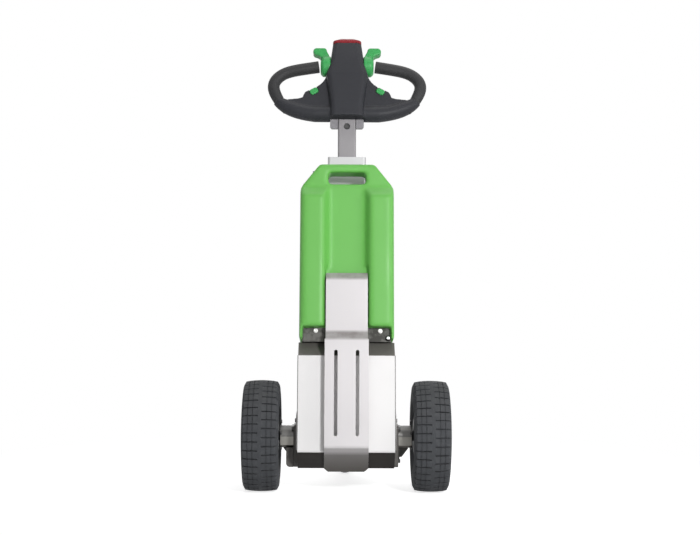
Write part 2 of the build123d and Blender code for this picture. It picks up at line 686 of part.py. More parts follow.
with BuildPart() as guide:
    with BuildSketch(above(COLUMN_TOP - GUIDE_LENGTH)):
        with Locations((0, COLUMN_MIDDLE)):
            RectangleRounded(inner_width, inner_deep, COLUMN_ROUND - COLUMN_WALL)
            RectangleRounded(TILLER_WIDTH + 2 * GUIDE_FIT, TILLER_DEEP + 2 * GUIDE_FIT,
                             TILLER_ROUND, mode=Mode.SUBTRACT)
    extrude(amount=GUIDE_LENGTH)
    with BuildSketch(knob_plane):
        Circle(KNOB_STEM + SEAT_FIT)
    extrude(amount=COLUMN_WIDTH / 2, mode=Mode.SUBTRACT)
keep("column_guide", guide.part)

with BuildPart() as knob:
    with BuildSketch(knob_plane):
        Circle(KNOB_STEM)
    extrude(amount=knob_end - knob_start)
    with BuildSketch(knob_plane.offset(knob_end - knob_start - KNOB_LENGTH)):
        Circle(KNOB_RADIUS)
        with PolarLocations(KNOB_RADIUS + KNOB_LOBE / 2, KNOB_LOBES):
            Circle(KNOB_LOBE, mode=Mode.SUBTRACT)
    extrude(amount=KNOB_LENGTH)
keep("clamp_knob", knob.part)

head_foot = HEAD.offset(HUB_BASE)
tiller_top = HEAD_RISE + 2 * HEAD_BASE
with BuildPart() as tiller:
    with BuildSketch(above(TILLER_BOTTOM)):
        with Locations((0, COLUMN_MIDDLE)):
            RectangleRounded(TILLER_WIDTH, TILLER_DEEP, TILLER_ROUND)
            RectangleRounded(TILLER_WIDTH - 2 * TILLER_WALL, TILLER_DEEP - 2 * TILLER_WALL,
                             TILLER_ROUND - TILLER_WALL, mode=Mode.SUBTRACT)
    extrude(amount=tiller_top - TILLER_BOTTOM)
    split(bisect_by=head_foot, keep=Keep.BOTTOM)
    with BuildSketch(at_depth(COLUMN_MIDDLE)):
        with Locations((0, TILLER_HOLE_RISE)):
            Circle(TILLER_HOLE)
    extrude(amount=TILLER_DEEP, mode=Mode.SUBTRACT)
keep("tiller_tube", tiller.part)

clevis_deep = TILLER_DEEP + CLEVIS_WALL
clevis_low = HEAD_RISE + HEAD_BASE - CLEVIS_TALL
clevis_foot = level(COLUMN_MIDDLE - TILLER_DEEP / 2, clevis_low)
with BuildPart() as clevis:
    with BuildSketch(above(clevis_low)):
        with Locations((0, COLUMN_MIDDLE + CLEVIS_WALL / 2)):
            Rectangle(CLEVIS_WIDTH, clevis_deep)
        with Locations((0, COLUMN_MIDDLE)):
            Rectangle(TILLER_WIDTH, TILLER_DEEP, mode=Mode.SUBTRACT)
    extrude(amount=tiller_top - HEAD_RISE)
    split(bisect_by=head_foot, keep=Keep.BOTTOM)
    split(bisect_by=Plane.XY.offset(clevis_foot[1]), keep=Keep.TOP)
    foot_sides = clevis.faces().sort_by(Axis.Z)[0].edges().filter_by(Axis.Y).sort_by(Axis.X)
    chamfer((foot_sides[0], foot_sides[-1]), CLEVIS_CHAMFER)
keep("tiller_clevis", clevis.part)

# ---------------------------------------------------------------- castor
housing_top = ARM_HIGH - ARM_WALL
castor_axle = Axis((0, CASTOR_Y + CASTOR_TRAIL, CASTOR_RADIUS), (1, 0, 0))
castor_plane = Plane(origin=castor_axle.position, x_dir=(0, 0, 1), z_dir=(0, 1, 0))
swivel_foot = Plane.XY.offset(FORK_CROWN_TOP + SWIVEL_GAP)

with BuildPart() as arm:
    add(arm_plan.sketch)
    extrude(amount=ARM_DEEP)
    with BuildSketch(Plane.XY.offset(ARM_LOW)):
        add(arm_plan.sketch_local)
        offset(amount=-ARM_WALL, mode=Mode.REPLACE)
    extrude(amount=ARM_DEEP - ARM_WALL, mode=Mode.SUBTRACT)
    with Locations((0, AXLE_Y + ARM_INSIDE + ARM_CROSS / 2, ARM_LOW + ARM_DEEP / 2)):
        Box(CHASSIS_WIDTH - 2 * SIDE_PLATE, ARM_CROSS, ARM_DEEP)
    with BuildSketch(Plane.XY.offset(ARM_LOW)):
        with Locations((0, CASTOR_Y)):
            Circle(SWIVEL_RADIUS + ARM_WALL)
            Circle(SWIVEL_RADIUS, mode=Mode.SUBTRACT)
    extrude(amount=ARM_DEEP - ARM_WALL)
keep("castor_arm", arm.part)

with BuildPart() as swivel:
    with BuildSketch(swivel_foot):
        with Locations((0, CASTOR_Y)):
            Circle(SWIVEL_RADIUS)
    extrude(amount=housing_top - FORK_CROWN_TOP - SWIVEL_GAP)
    with BuildSketch(swivel_foot):
        with Locations((0, CASTOR_Y)):
            Circle(KINGPIN_RADIUS + RUNNING_FIT)
    extrude(amount=housing_top - FORK_CROWN_TOP - SWIVEL_GAP - SWIVEL_CAP, mode=Mode.SUBTRACT)
keep("castor_housing", swivel.part)

with BuildPart() as fork:
    with BuildSketch(Plane.XY.offset(FORK_CROWN_LOW)):
        with Locations((0, CASTOR_Y)):
            Circle(FORK_CROWN_RADIUS)
    extrude(amount=FORK_CROWN)
    with BuildSketch(Plane.XY.offset(FORK_CROWN_TOP)):
        with Locations((0, CASTOR_Y)):
            Circle(KINGPIN_RADIUS)
    extrude(amount=housing_top - FORK_CROWN_TOP - SWIVEL_CAP - SWIVEL_GAP)
    for side in SIDES.values():
        leg = Plane(origin=(side * (FORK_GAP + FORK_LEG) / 2, CASTOR_Y, 0), x_dir=(0, 1, 0),
                    z_dir=(1, 0, 0))
        with BuildSketch(leg):
            with Locations((CASTOR_TRAIL, CASTOR_RADIUS)):
                Circle(FORK_EYE)
            with Locations((0, FORK_CROWN_LOW + FORK_CROWN / 2)):
                Rectangle(FORK_LEG_TOP, FORK_CROWN)
            make_hull()
        extrude(amount=FORK_LEG / 2, both=True)
    with BuildSketch(Plane(origin=castor_axle.position, x_dir=(0, 1, 0), z_dir=(1, 0, 0))):
        Circle(CASTOR_PIN)
    extrude(amount=FORK_GAP / 2 + FORK_LEG + CASTOR_PIN_HEAD, both=True)
keep("castor_fork", fork.part)

with BuildPart() as castor_tyre:
    with BuildSketch(castor_plane):
        with BuildLine():
            edge = (CASTOR_RADIUS - CASTOR_CROWN, CASTOR_WIDTH / 2)
            ThreePointArc((edge[0], -edge[1]), (CASTOR_RADIUS, 0), edge)
            Polyline(edge, (CASTOR_CORE_RADIUS, edge[1]), (CASTOR_CORE_RADIUS, -edge[1]),
                     (edge[0], -edge[1]))
        make_face()
    revolve(axis=castor_axle)
keep("castor_tyre", castor_tyre.part)

bore = CASTOR_PIN + RUNNING_FIT
rim_foot = CASTOR_CORE_RADIUS - CASTOR_FLANGE_WALL
with BuildPart() as castor_hub:
    with BuildSketch(castor_plane):
        with BuildLine():
            Polyline(
                (bore, -CASTOR_BOSS / 2),
                (CASTOR_BOSS_RADIUS, -CASTOR_BOSS / 2),
                (CASTOR_BOSS_RADIUS, -CASTOR_WEB / 2),
                (rim_foot, -CASTOR_WEB / 2),
                (rim_foot, -CASTOR_FLANGE / 2),
                (CASTOR_CORE_RADIUS, -CASTOR_FLANGE / 2),
                (CASTOR_CORE_RADIUS, CASTOR_FLANGE / 2),
                (rim_foot, CASTOR_FLANGE / 2),
                (rim_foot, CASTOR_WEB / 2),
                (CASTOR_BOSS_RADIUS, CASTOR_WEB / 2),
                (CASTOR_BOSS_RADIUS, CASTOR_BOSS / 2),
                (bore, CASTOR_BOSS / 2),
                close=True,
            )
        make_face()
    revolve(axis=castor_axle)
keep("castor_hub", castor_hub.part)

# ---------------------------------------------------------------- steering head
HUB_SECTIONS = (  # height, half-width, front, back
    (HUB_BASE, 42.0, 29.0, 25.0),
    (54.0, 42.0, 32.0, 27.0),
    (132.0, 52.0, 34.0, 28.0),
    (160.0, 43.5, 32.0, 27.0),
    (186.0, 40.0, 29.0, 26.0),
    (HEAD_TOP, 36.0, 25.0, 24.0),
)
BAR_SECTIONS = (  # x, height, radius, turn in degrees
    (80.0, HEAD_BASE + BAR_RADIUS, BAR_RADIUS, 0.0),
    (118.0, 41.5, 19.0, 14.0),
    (146.0, 52.0, 18.0, 31.0),
    (171.0, 68.0, GRIP_RADIUS, 60.0),
)
WING_ROOT = (52.0, 134.0)
WING_CURVE = (61.5, 117.0)
WING_EDGE = (
    (78.0, 103.5),
    (92.0, 96.5),
    (104.5, 90.5),
    (109.0, 82.0),
    (111.5, 75.0),
    (122.0, 72.5),
    (147.0, 70.0),
)
HORN_PLACE = (83.0, 94.0, -30.0)  # x, height, turn in degrees
GRIP_ROUTE = ((191.0, 102.64), (158.0, 140.5), (72.0, 161.5))
GRIP_BENDS = (24.0, 60.0)
# the paddle's outline in (x, height), round from the foot of its outer side
PADDLE_FOOT = ((62.0, 172.0), (62.0, LEVER_RISE), (46.0, LEVER_RISE), (46.0, 188.0), (52.0, 199.0))
PADDLE_CORNER = (PADDLE_FOOT[-1], (53.5, 205.0), (58.0, 207.0))
PADDLE_TIP = ((79.0, 207.0), (85.3, 200.0), (80.0, 191.0))
PADDLE_HOOK = (PADDLE_TIP[-1], (68.0, 185.0), PADDLE_FOOT[0])
bar_rise = HEAD_BASE + BAR_RADIUS
bar_end = BAR_SECTIONS[0][0]
top_half, top_front, top_back = HUB_SECTIONS[-1][1:]

with BuildPart() as head:
    for height, half_width, front, back in HUB_SECTIONS:
        with BuildSketch(HEAD.offset(height)):
            with Locations((0, (back - front) / 2)):
                RectangleRounded(2 * half_width, front + back, HUB_ROUND)
    loft(ruled=True)
    with BuildSketch(HEAD_FRONT.offset(WING_FRONT)):
        with BuildLine():
            Line((0, WING_ROOT[1]), WING_ROOT)
            ThreePointArc(WING_ROOT, WING_CURVE, WING_EDGE[0])
            Polyline(*WING_EDGE, BAR_SECTIONS[-2][:2], BAR_SECTIONS[0][:2], (0, bar_rise))
            mirror(about=Plane.YZ)
        make_face()
    extrude(amount=-(WING_FRONT + WING_BACK))
    with BuildSketch(across_head(0, bar_rise, 1)):
        Circle(BAR_RADIUS)
    extrude(amount=bar_end, both=True)
    for side in SIDES.values():
        for x, height, radius, turn in BAR_SECTIONS:
            along = HEAD.x_dir * (side * cos(radians(turn))) + HEAD.z_dir * sin(radians(turn))
            origin = HEAD.from_local_coords(Vector(side * x, 0, height))
            with BuildSketch(Plane(origin=origin, x_dir=HEAD.y_dir, z_dir=along)):
                Circle(radius)
        loft()
    # the room between the bars where the clevis meets the hub
    with BuildSketch(HEAD.offset(HUB_BASE)):
        Rectangle(CLEVIS_WIDTH + 2 * SEAT_FIT, 4 * BAR_RADIUS)
    extrude(amount=-HUB_BASE, mode=Mode.SUBTRACT)
    # the seats of the throttle levers and the bore of their shaft
    for side in SIDES.values():
        with BuildSketch(across_head(side * (LEVER_IN - SEAT_FIT), LEVER_RISE, side)):
            Circle(LEVER_RADIUS + SEAT_FIT)
        extrude(amount=2 * LEVER_THICK, mode=Mode.SUBTRACT)
        # the seat of the horn button
        with BuildSketch(HEAD_FRONT.offset(WING_FRONT + HORN_OUT)):
            with Locations(Location((side * HORN_PLACE[0], HORN_PLACE[1]),
                                    side * HORN_PLACE[2])):
                RectangleRounded(HORN_ALONG + 2 * SEAT_FIT, HORN_TALL + 2 * SEAT_FIT,
                                 HORN_ROUND)
        extrude(amount=-HORN_DEEP - SEAT_FIT, mode=Mode.SUBTRACT)
    with BuildSketch(across_head(0, LEVER_RISE, 1)):
        Circle(LEVER_SHAFT)
    extrude(amount=LEVER_IN, both=True, mode=Mode.SUBTRACT)
keep("head_body", head.part)

for name, side in SIDES.items():
    with BuildPart() as grip:
        with BuildLine(HEAD_FRONT) as route:
            FilletPolyline(
                *mirrored((BAR_SECTIONS[-1][:2], *GRIP_ROUTE), side),
                radius=GRIP_BENDS,
            )
        with BuildSketch(Plane(origin=route.line @ 0, z_dir=route.line % 0)):
            Circle(GRIP_RADIUS)
        sweep(path=route.line)
    keep(f"grip_{name}", grip.part)

    with BuildPart() as lever:
        with BuildSketch(across_head(side * LEVER_IN, LEVER_RISE, side)):
            Circle(LEVER_RADIUS)
        extrude(amount=LEVER_THICK)
        chamfer(lever.faces().sort_by(Axis.X)[-1 if side > 0 else 0].edges(), LEVER_CHAMFER)
        # the paddle that the thumb pushes, curled outwards at its tip
        with BuildSketch(HEAD_FRONT):
            with BuildLine():
                Polyline(*mirrored(PADDLE_FOOT, side))
                ThreePointArc(*mirrored(PADDLE_CORNER, side))
                Line(*mirrored((PADDLE_CORNER[-1], PADDLE_TIP[0]), side))
                ThreePointArc(*mirrored(PADDLE_TIP, side))
                ThreePointArc(*mirrored(PADDLE_HOOK, side))
            make_face()
        extrude(amount=LEVER_DEEP / 2, both=True)
        with BuildSketch(across_head(side * LEVER_IN, LEVER_RISE, side)):
            Circle(LEVER_SHAFT)
        extrude(amount=LEVER_THICK, mode=Mode.SUBTRACT)
    keep(f"throttle_{name}", lever.part)

    with BuildPart() as horn:
        with BuildSketch(HEAD_FRONT.offset(WING_FRONT + HORN_OUT)):
            with Locations(Location((side * HORN_PLACE[0], HORN_PLACE[1]),
                                    side * HORN_PLACE[2])):
                RectangleRounded(HORN_ALONG, HORN_TALL, HORN_ROUND)
        extrude(amount=-HORN_DEEP)
        chamfer(horn.faces().sort_by(Axis.Y)[0].edges(), HORN_OUT / 2)
    keep(f"horn_button_{name}", horn.part)

with BuildPart() as throttle_shaft:
    with BuildSketch(across_head(0, LEVER_RISE, 1)):
        Circle(LEVER_SHAFT)
    extrude(amount=LEVER_IN + LEVER_THICK, both=True)
keep("throttle_shaft", throttle_shaft.part)

with BuildPart() as stop:
    with BuildSketch(HEAD.offset(HEAD_TOP)):
        with Locations((0, (top_back - top_front) / 2)):
            RectangleRounded(2 * top_half, top_front + top_back, STOP_ROUND)
    with BuildSketch(HEAD.offset(HEAD_TOP + STOP_TALL - STOP_SLOPE)):
        with Locations((0, (top_back - top_front) / 2)):
            RectangleRounded(2 * top_half, top_front + top_back, STOP_ROUND)
    with BuildSketch(HEAD.offset(HEAD_TOP + STOP_TALL)):
        with Locations((0, (top_back - top_front) / 2)):
            RectangleRounded(2 * (top_half - STOP_TAPER), top_front + top_back - 2 * STOP_SLOPE,
                             STOP_ROUND - STOP_SLOPE / 2)
    loft(ruled=True)
keep("stop_button", stop.part)

# ---------------------------------------------------------------- export
os.makedirs("parts", exist_ok=True)
for name, part in made.items():
    export_step(part, f"parts/{name}.step")
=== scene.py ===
"""The looks of a pedestrian electric tug: its finishes, tread, fasteners, lights and camera."""

from __future__ import annotations

import json
import logging
import math
from contextlib import contextmanager
from dataclasses import dataclass, field
from enum import Enum
from typing import Callable, Iterator, Sequence

import bmesh
import bpy
from mathutils import Matrix, Vector

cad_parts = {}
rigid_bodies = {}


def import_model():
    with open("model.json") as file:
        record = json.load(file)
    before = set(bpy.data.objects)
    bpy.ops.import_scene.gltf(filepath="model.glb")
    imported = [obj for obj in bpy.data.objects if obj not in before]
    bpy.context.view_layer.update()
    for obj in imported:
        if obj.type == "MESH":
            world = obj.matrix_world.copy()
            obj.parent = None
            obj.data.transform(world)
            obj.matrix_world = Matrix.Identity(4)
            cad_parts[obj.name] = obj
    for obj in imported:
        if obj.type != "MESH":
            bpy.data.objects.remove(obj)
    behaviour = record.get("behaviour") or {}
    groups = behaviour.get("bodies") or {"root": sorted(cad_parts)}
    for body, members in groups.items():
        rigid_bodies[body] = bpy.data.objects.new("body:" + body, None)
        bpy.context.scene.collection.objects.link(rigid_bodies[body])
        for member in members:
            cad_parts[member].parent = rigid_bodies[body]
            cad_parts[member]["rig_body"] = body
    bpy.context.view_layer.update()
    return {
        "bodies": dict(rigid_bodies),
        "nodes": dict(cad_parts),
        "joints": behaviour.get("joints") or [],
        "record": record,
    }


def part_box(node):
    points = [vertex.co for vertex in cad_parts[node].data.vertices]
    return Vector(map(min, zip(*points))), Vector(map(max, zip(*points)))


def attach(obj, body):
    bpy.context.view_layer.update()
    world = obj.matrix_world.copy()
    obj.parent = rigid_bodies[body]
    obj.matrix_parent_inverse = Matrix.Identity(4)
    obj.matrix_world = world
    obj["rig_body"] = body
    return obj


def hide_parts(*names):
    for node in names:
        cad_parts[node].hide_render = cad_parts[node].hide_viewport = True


log = logging.getLogger("tug")

Colour = tuple[float, float, float]
Point = tuple[float, float, float]
Point2 = tuple[float, float]
Piece = bpy.types.Object
Socket = bpy.types.NodeSocket
MM = 0.001
SIDES = (("left", -1), ("right", 1))
NODE_GAP = 2e-6  # how near the doubles of a frame's node lie, in metres
LIP_FACE = -64.0  # depth of the outer face of the battery tray's lip, in millimetres


# ---- the frame
@dataclass(frozen=True)
class Datum:
    """The points and directions of the frame that the pieces are placed by.

    Attributes:
        axle: Middle of the drive axle.
        up: Direction of the leaning column.
        castor_wheel: Middle of the castor's wheel.
    """

    axle: Vector
    up: Vector
    castor_wheel: Vector

    @property
    def back(self) -> Vector:
        """Direction square to the column, towards the operator."""
        return Vector((0.0, self.up.z, -self.up.y))

    @property
    def lean(self) -> float:
        """Angle of the column from upright, in radians."""
        return math.atan2(self.up.y, self.up.z)

    def at(self, across: float, depth: float, rise: float) -> Vector:
        """Place a point of the leaning frame.

        Args:
            across: Distance to the right of the middle, in millimetres.
            depth: Distance behind the axle, square to the column, in millimetres.
            rise: Height along the column above the axle, in millimetres.

        Returns:
            The point in the frame, in metres.
        """
        return (self.axle + Vector((across * MM, 0, 0)) + self.back * depth * MM
                + self.up * rise * MM)

    def rise_of(self, point: Vector) -> float:
        """Return a point's height along the column above the axle, in millimetres."""
        return (point - self.axle).dot(self.up) / MM

    @classmethod
    def read(cls, frame: dict) -> "Datum":
        """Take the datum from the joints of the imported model.


        Returns:
            The datum.
        """
        joints = {joint["name"]: joint for joint in frame["joints"]}
        left = Vector(joints["wheel_left_roll"]["pos_m"])
        return cls(
            axle=Vector((0, left.y, left.z)),
            up=Vector(joints["tiller_height"]["axis"]).normalized(),
            castor_wheel=Vector(joints["castor_roll"]["pos_m"]),
        )


# ---- shader nodes
class Group(Enum):
    """The shader groups that several finishes share."""

    DRIFT = "colour drift"
    WEAR = "edge wear"
    GRAIN = "surface grain"
    # Dust on faces that look up, and on the strap a painted shade.
    DUST = "settled dust"
    # Painted shade on faces that look down.
    GRIME = "underside grime"


@dataclass
class Net:
    """Adds nodes to a shader tree and joins them.

    Attributes:
        tree: The tree that the nodes go into.
    """

    tree: bpy.types.NodeTree

    def feed(self, node: bpy.types.Node, feeds: dict[str | int, object]) -> None:
        """Give a node's inputs their values, or the sockets that feed them.

        Args:
            node: The node.
            feeds: Name or place of an input, to its value or to the socket that feeds it.
        """
        for name, value in feeds.items():
            if isinstance(value, Socket):
                self.tree.links.new(value, node.inputs[name])
            else:
                node.inputs[name].default_value = value

    def add(self, kind: str, feeds: dict[str | int, object] | None = None,
            **options: object) -> bpy.types.Node:
        """Add a node.

        Args:
            kind: Its type, without the word that every type starts with.
            feeds: What its inputs hold or are fed by.
            **options: The node's own settings.

        Returns:
            The node.
        """
        node = self.tree.nodes.new("ShaderNode" + kind)
        for option, value in options.items():
            setattr(node, option, value)
        self.feed(node, feeds or {})
        return node

    def math(self, operation: str, *values: object) -> Socket:
        """Return the result of a sum on numbers or sockets."""
        return self.add("Math", dict(enumerate(values)), operation=operation).outputs[0]

    def noise(self, place: object, scale: object, detail: object = 2.0) -> Socket:
        """Return the value of a noise at a place."""
        feeds = {"Vector": place, "Scale": scale, "Detail": detail}
        return self.add("TexNoise", feeds).outputs["Fac"]

    def upright(self, vector: Socket) -> Socket:
        """Return the upright share of a vector."""
        return self.add("SeparateXYZ", {"Vector": vector}).outputs["Z"]

    def spread(self, value: object, low: object, high: object, to_low: float = 0.0,
               to_high: float = 1.0) -> Socket:
        """Spread a range of values over another range, and hold it at the ends.

        Args:
            value: The socket to spread.
            low: Value that becomes to_low.
            high: Value that becomes to_high.
            to_low: Start of the new range.
            to_high: End of the new range.

        Returns:
            The socket with the new value.
        """
        feeds = {"Value": value, "From Min": low, "From Max": high,
                 "To Min": to_low, "To Max": to_high}
        return self.add("MapRange", feeds).outputs["Result"]

    def group(self, kind: Group, place: Socket, **values: object) -> bpy.types.Node:
        """Add a shared group that reads a place, with its own values."""
        tree = bpy.data.node_groups[kind.value]
        return self.add("Group", {"Vector": place, **values}, node_tree=tree)


def new_group(kind: Group, *results: str,
              **inputs: object) -> tuple[Net, bpy.types.NodeOutputs, bpy.types.Node]:
    """Start a shader group that reads a place as its Vector.

    Args:
        kind: Which group to make.
        *results: Names of what it gives: Colour, or else numbers.
        **inputs: Name of each other input and its default: a number, vector or colour.

    Returns:
        The group's net, what it is given and the node that takes its results.
    """
    tree = bpy.data.node_groups.new(kind.value, "ShaderNodeTree")
    types = {1: "NodeSocketFloat", 3: "NodeSocketVector", 4: "NodeSocketColor"}
    for name, value in {"Vector": (0.0, 0.0, 0.0), **inputs}.items():
        size = len(value) if isinstance(value, tuple) else 1
        socket = tree.interface.new_socket(name, in_out="INPUT", socket_type=types[size])
        socket.default_value = value
    for name in results:
        size = 4 if name == "Colour" else 1
        tree.interface.new_socket(name, in_out="OUTPUT", socket_type=types[size])
    given = tree.nodes.new("NodeGroupInput").outputs
    return Net(tree), given, tree.nodes.new("NodeGroupOutput")


def build_drift() -> None:
    """Make the group that lets a colour drift lighter and darker over a surface."""
    net, given, result = new_group(Group.DRIFT, "Colour", Colour=(0.5, 0.5, 0.5, 1.0),
                                   Scale=6.0, Amount=0.1)
    noise = net.noise(given["Vector"], given["Scale"], detail=5.0)
    swing = net.math("MULTIPLY", net.math("SUBTRACT", noise, 0.5), given["Amount"])
    shade = net.add("HueSaturation", {"Value": net.math("ADD", swing, 1.0),
                                      "Color": given["Colour"]})
    net.feed(result, {"Colour": shade.outputs["Color"]})


def build_wear() -> None:
    """Make the group that finds the outer edges, broken up by noise, as a mask."""
    net, given, result = new_group(Group.WEAR, "Mask", Amount=0.5, Scale=60.0)
    edge = net.spread(net.add("NewGeometry").outputs["Pointiness"], low=0.53, high=0.62)
    noise = net.noise(given["Vector"], given["Scale"], detail=4.0)
    broken = net.math("MULTIPLY", edge, net.spread(noise, low=0.42, high=0.62))
    net.feed(result, {"Mask": net.math("MULTIPLY", broken, given["Amount"])})


def build_grain() -> None:
    """Make the group that gives a fine height and a mask, stretched along one direction."""
    net, given, result = new_group(Group.GRAIN, "Height", "Mask", Stretch=(1.0, 1.0, 1.0),
                                   Scale=400.0, Detail=4.0)
    place = net.add("VectorMath", {0: given["Vector"], 1: given["Stretch"]},
                    operation="MULTIPLY").outputs["Vector"]
    net.feed(result, {"Height": net.noise(place, given["Scale"], given["Detail"]),
                      "Mask": net.noise(given["Vector"], scale=9.0)})


def build_dust_and_shade() -> None:
    """Make the group that finds faces that look up, in patches, for dust and for painted shade."""
    net, given, result = new_group(Group.DUST, "Mask", Amount=0.2, Scale=30.0)
    facing = net.upright(net.add("NewGeometry").outputs["Normal"])
    noise = net.noise(given["Vector"], given["Scale"], detail=6.0)
    patch = net.math("MULTIPLY", net.spread(facing, low=0.2, high=1.0), noise)
    net.feed(result, {"Mask": net.math("MULTIPLY", patch, given["Amount"])})


def build_downward_shade() -> None:
    """Make the group that paints shade on faces that look down, darker towards a foot."""
    net, given, result = new_group(Group.GRIME, "Mask", Amount=0.0, Scale=25.0, Top=9.0,
                                   Foot=8.0)
    facing = net.upright(net.add("NewGeometry").outputs["Normal"])
    noise = net.noise(given["Vector"], given["Scale"], detail=5.0)
    ragged = net.math("MULTIPLY_ADD", noise, 0.12, facing)
    cover = net.math("MULTIPLY", net.spread(ragged, low=-0.16, high=-0.46), given["Amount"])
    depth = net.spread(net.upright(given["Vector"]), given["Top"], given["Foot"])
    # Ramp that deepens the painted shade towards the foot.
    thickness = net.add("ValToRGB", {"Fac": depth})
    thickness.color_ramp.elements[0].color = (0.40, 0.40, 0.40, 1.0)
    thickness.color_ramp.elements.new(0.2).color = (0.84, 0.84, 0.84, 1.0)
    net.feed(result, {"Mask": net.math("MULTIPLY", cover, thickness.outputs["Color"])})


# ---- finishes
class Lay(Enum):
    """Direction that a surface's grain runs in, as how much noise is squeezed each way."""

    EVEN = (1.0, 1.0, 1.0)
    UPRIGHT = (1.0, 1.0, 0.03)
    ACROSS = (0.03, 1.0, 1.0)


@dataclass(frozen=True)
class Finish:
    """One finish of the machine and how its material is made.

    Attributes:
        name: Material name.
        colour: Base colour, linear.
        roughness: Middle roughness.
        metallic: 0 for paint, plastic and rubber, up to 1 for bare metal.
        drift: How far the colour drifts.
        drift_scale: Size of the drifting patches; larger is finer.
        lay: Direction of the grain.
        grain_scale: Fineness of the grain.
        grain_depth: Height of the grain in millimetres.
        roughness_swing: How far the roughness follows the grain.
        wear: How much of the edges shows worn.
        worn_colour: Colour of worn edges.
        dust_and_shade: How much dust lies on faces that look up; on the strap it is a dark painted
            shade on its upward step and lip.
        dust_and_shade_colour: Colour of that dust, and on the strap of that painted shade.
        coat: Weight of a clear coat.
        downward_shade: How much painted shade darkens faces that look down.
        shade_colour: Colour of that painted shade.
        shade_fade: Heights in metres between which that painted shade deepens, going down.
        specular: Strength of the mirror light off a surface that isn't metal.
    """

    name: str
    colour: Colour
    roughness: float
    metallic: float = 0.0
    drift: float = 0.06
    drift_scale: float = 7.0
    lay: Lay = Lay.EVEN
    grain_scale: float = 500.0
    grain_depth: float = 0.02
    roughness_swing: float = 0.1
    wear: float = 0.2
    worn_colour: Colour = (0.5, 0.5, 0.5)
    dust_and_shade: float = 0.05
    dust_and_shade_colour: Colour = (0.45, 0.42, 0.38)
    coat: float = 0.0
    downward_shade: float = 0.0
    shade_colour: Colour = (0.064, 0.058, 0.051)
    shade_fade: Point2 = (9.0, 8.0)
    specular: float = 0.5

    def material(self) -> bpy.types.Material:
        """Return the finish's material, made the first time it is asked for."""
        return bpy.data.materials.get(self.name) or self._make()

    def _make(self) -> bpy.types.Material:
        """Build the material's nodes."""
        made = bpy.data.materials.new(self.name)
        made.use_nodes = True
        made.diffuse_color = (*self.colour, 1.0)
        net = Net(made.node_tree)
        place = net.add("TexCoord").outputs["Object"]
        drift = net.group(Group.DRIFT, place, Colour=(*self.colour, 1.0),
                          Scale=self.drift_scale, Amount=self.drift)
        grain = net.group(Group.GRAIN, place, Stretch=self.lay.value, Scale=self.grain_scale)
        top, foot = self.shade_fade
        # Worn edges, then dust on faces that look up (on the strap a painted shade), then painted
        # shade on faces that look down.
        layers = (
            (self.worn_colour, net.group(Group.WEAR, place, Amount=self.wear)),
            (self.dust_and_shade_colour, net.group(Group.DUST, place, Amount=self.dust_and_shade)),
            (self.shade_colour, net.group(Group.GRIME, place, Amount=self.downward_shade, Top=top, Foot=foot)),
        )
        colour = drift.outputs["Colour"]
        for cover, layer in layers:
            mix = net.add("Mix", {"Factor": layer.outputs["Mask"], "A": colour,
                                  "B": (*cover, 1.0)}, data_type="RGBA")
            colour = mix.outputs["Result"]
        bump = net.add("Bump", {"Strength": 1.0, "Distance": self.grain_depth * MM,
                                "Height": grain.outputs["Height"]})
        net.feed(made.node_tree.nodes["Principled BSDF"], {
            "Base Color": colour,
            "Metallic": self.metallic,
            "Roughness": net.spread(grain.outputs["Mask"], low=0.3, high=0.7,
                                    to_low=max(0.02, self.roughness - self.roughness_swing),
                                    to_high=min(1.0, self.roughness + self.roughness_swing)),
            "Coat Weight": self.coat,
            "Specular IOR Level": self.specular,
            "Normal": bump.outputs["Normal"],
        })
        return made


STAINLESS = Finish("stainless_sheet", (0.79, 0.78, 0.78), 0.5, metallic=0.12, drift=0.04,
                   lay=Lay.UPRIGHT, grain_scale=900, grain_depth=0.01, roughness_swing=0.05,
                   wear=0.0, dust_and_shade=0.02, specular=0.4)
# On the strap the dust is a dark painted shade on its upward step and lip, and the downward shade
# darkens its foot towards the bottom as painted shade.
STAINLESS_STRAP = Finish("stainless_strap", (0.61, 0.59, 0.60), 0.45, metallic=0.2, drift=0.05,
                         lay=Lay.UPRIGHT, grain_scale=900, grain_depth=0.012,
                         roughness_swing=0.06, wear=0.0, dust_and_shade=1.9,
                         dust_and_shade_colour=(0.27, 0.250, 0.243), downward_shade=1.0,
                         shade_fade=(0.107, 0.052), specular=0.35)
COLUMN_STEEL = Finish("column_steel", (0.50, 0.50, 0.51), 0.46, metallic=0.5, drift=0.04,
                      lay=Lay.UPRIGHT, grain_scale=900, grain_depth=0.01, wear=0.0)
TILLER_STEEL = Finish("tiller_steel", (0.250, 0.240, 0.250), 0.45, metallic=0.5, drift=0.05,
                      lay=Lay.UPRIGHT, grain_scale=900, grain_depth=0.012, wear=0.1,
                      specular=0.35)
CLEVIS_STEEL = Finish("clevis_steel", (0.205, 0.198, 0.212), 0.42, metallic=0.5, drift=0.06,
                      lay=Lay.ACROSS, grain_scale=700, grain_depth=0.012, wear=0.25,
                      specular=0.35)
TURNED_STEEL = Finish("turned_steel", (0.42, 0.41, 0.38), 0.3, metallic=0.9, drift=0.08,
                      lay=Lay.ACROSS, grain_scale=700, grain_depth=0.012)
ZINC = Finish("zinc_plate", (0.62, 0.62, 0.60), 0.38, metallic=0.9, drift=0.12,
              drift_scale=40, grain_scale=300)
CHROME = Finish("chrome", (0.86, 0.86, 0.87), 0.08, metallic=1.0, drift=0.02,
                roughness_swing=0.03, grain_depth=0.002, wear=0.0)
FASTENER = Finish("fastener_steel", (0.5, 0.5, 0.5), 0.32, metallic=0.95, drift=0.08)
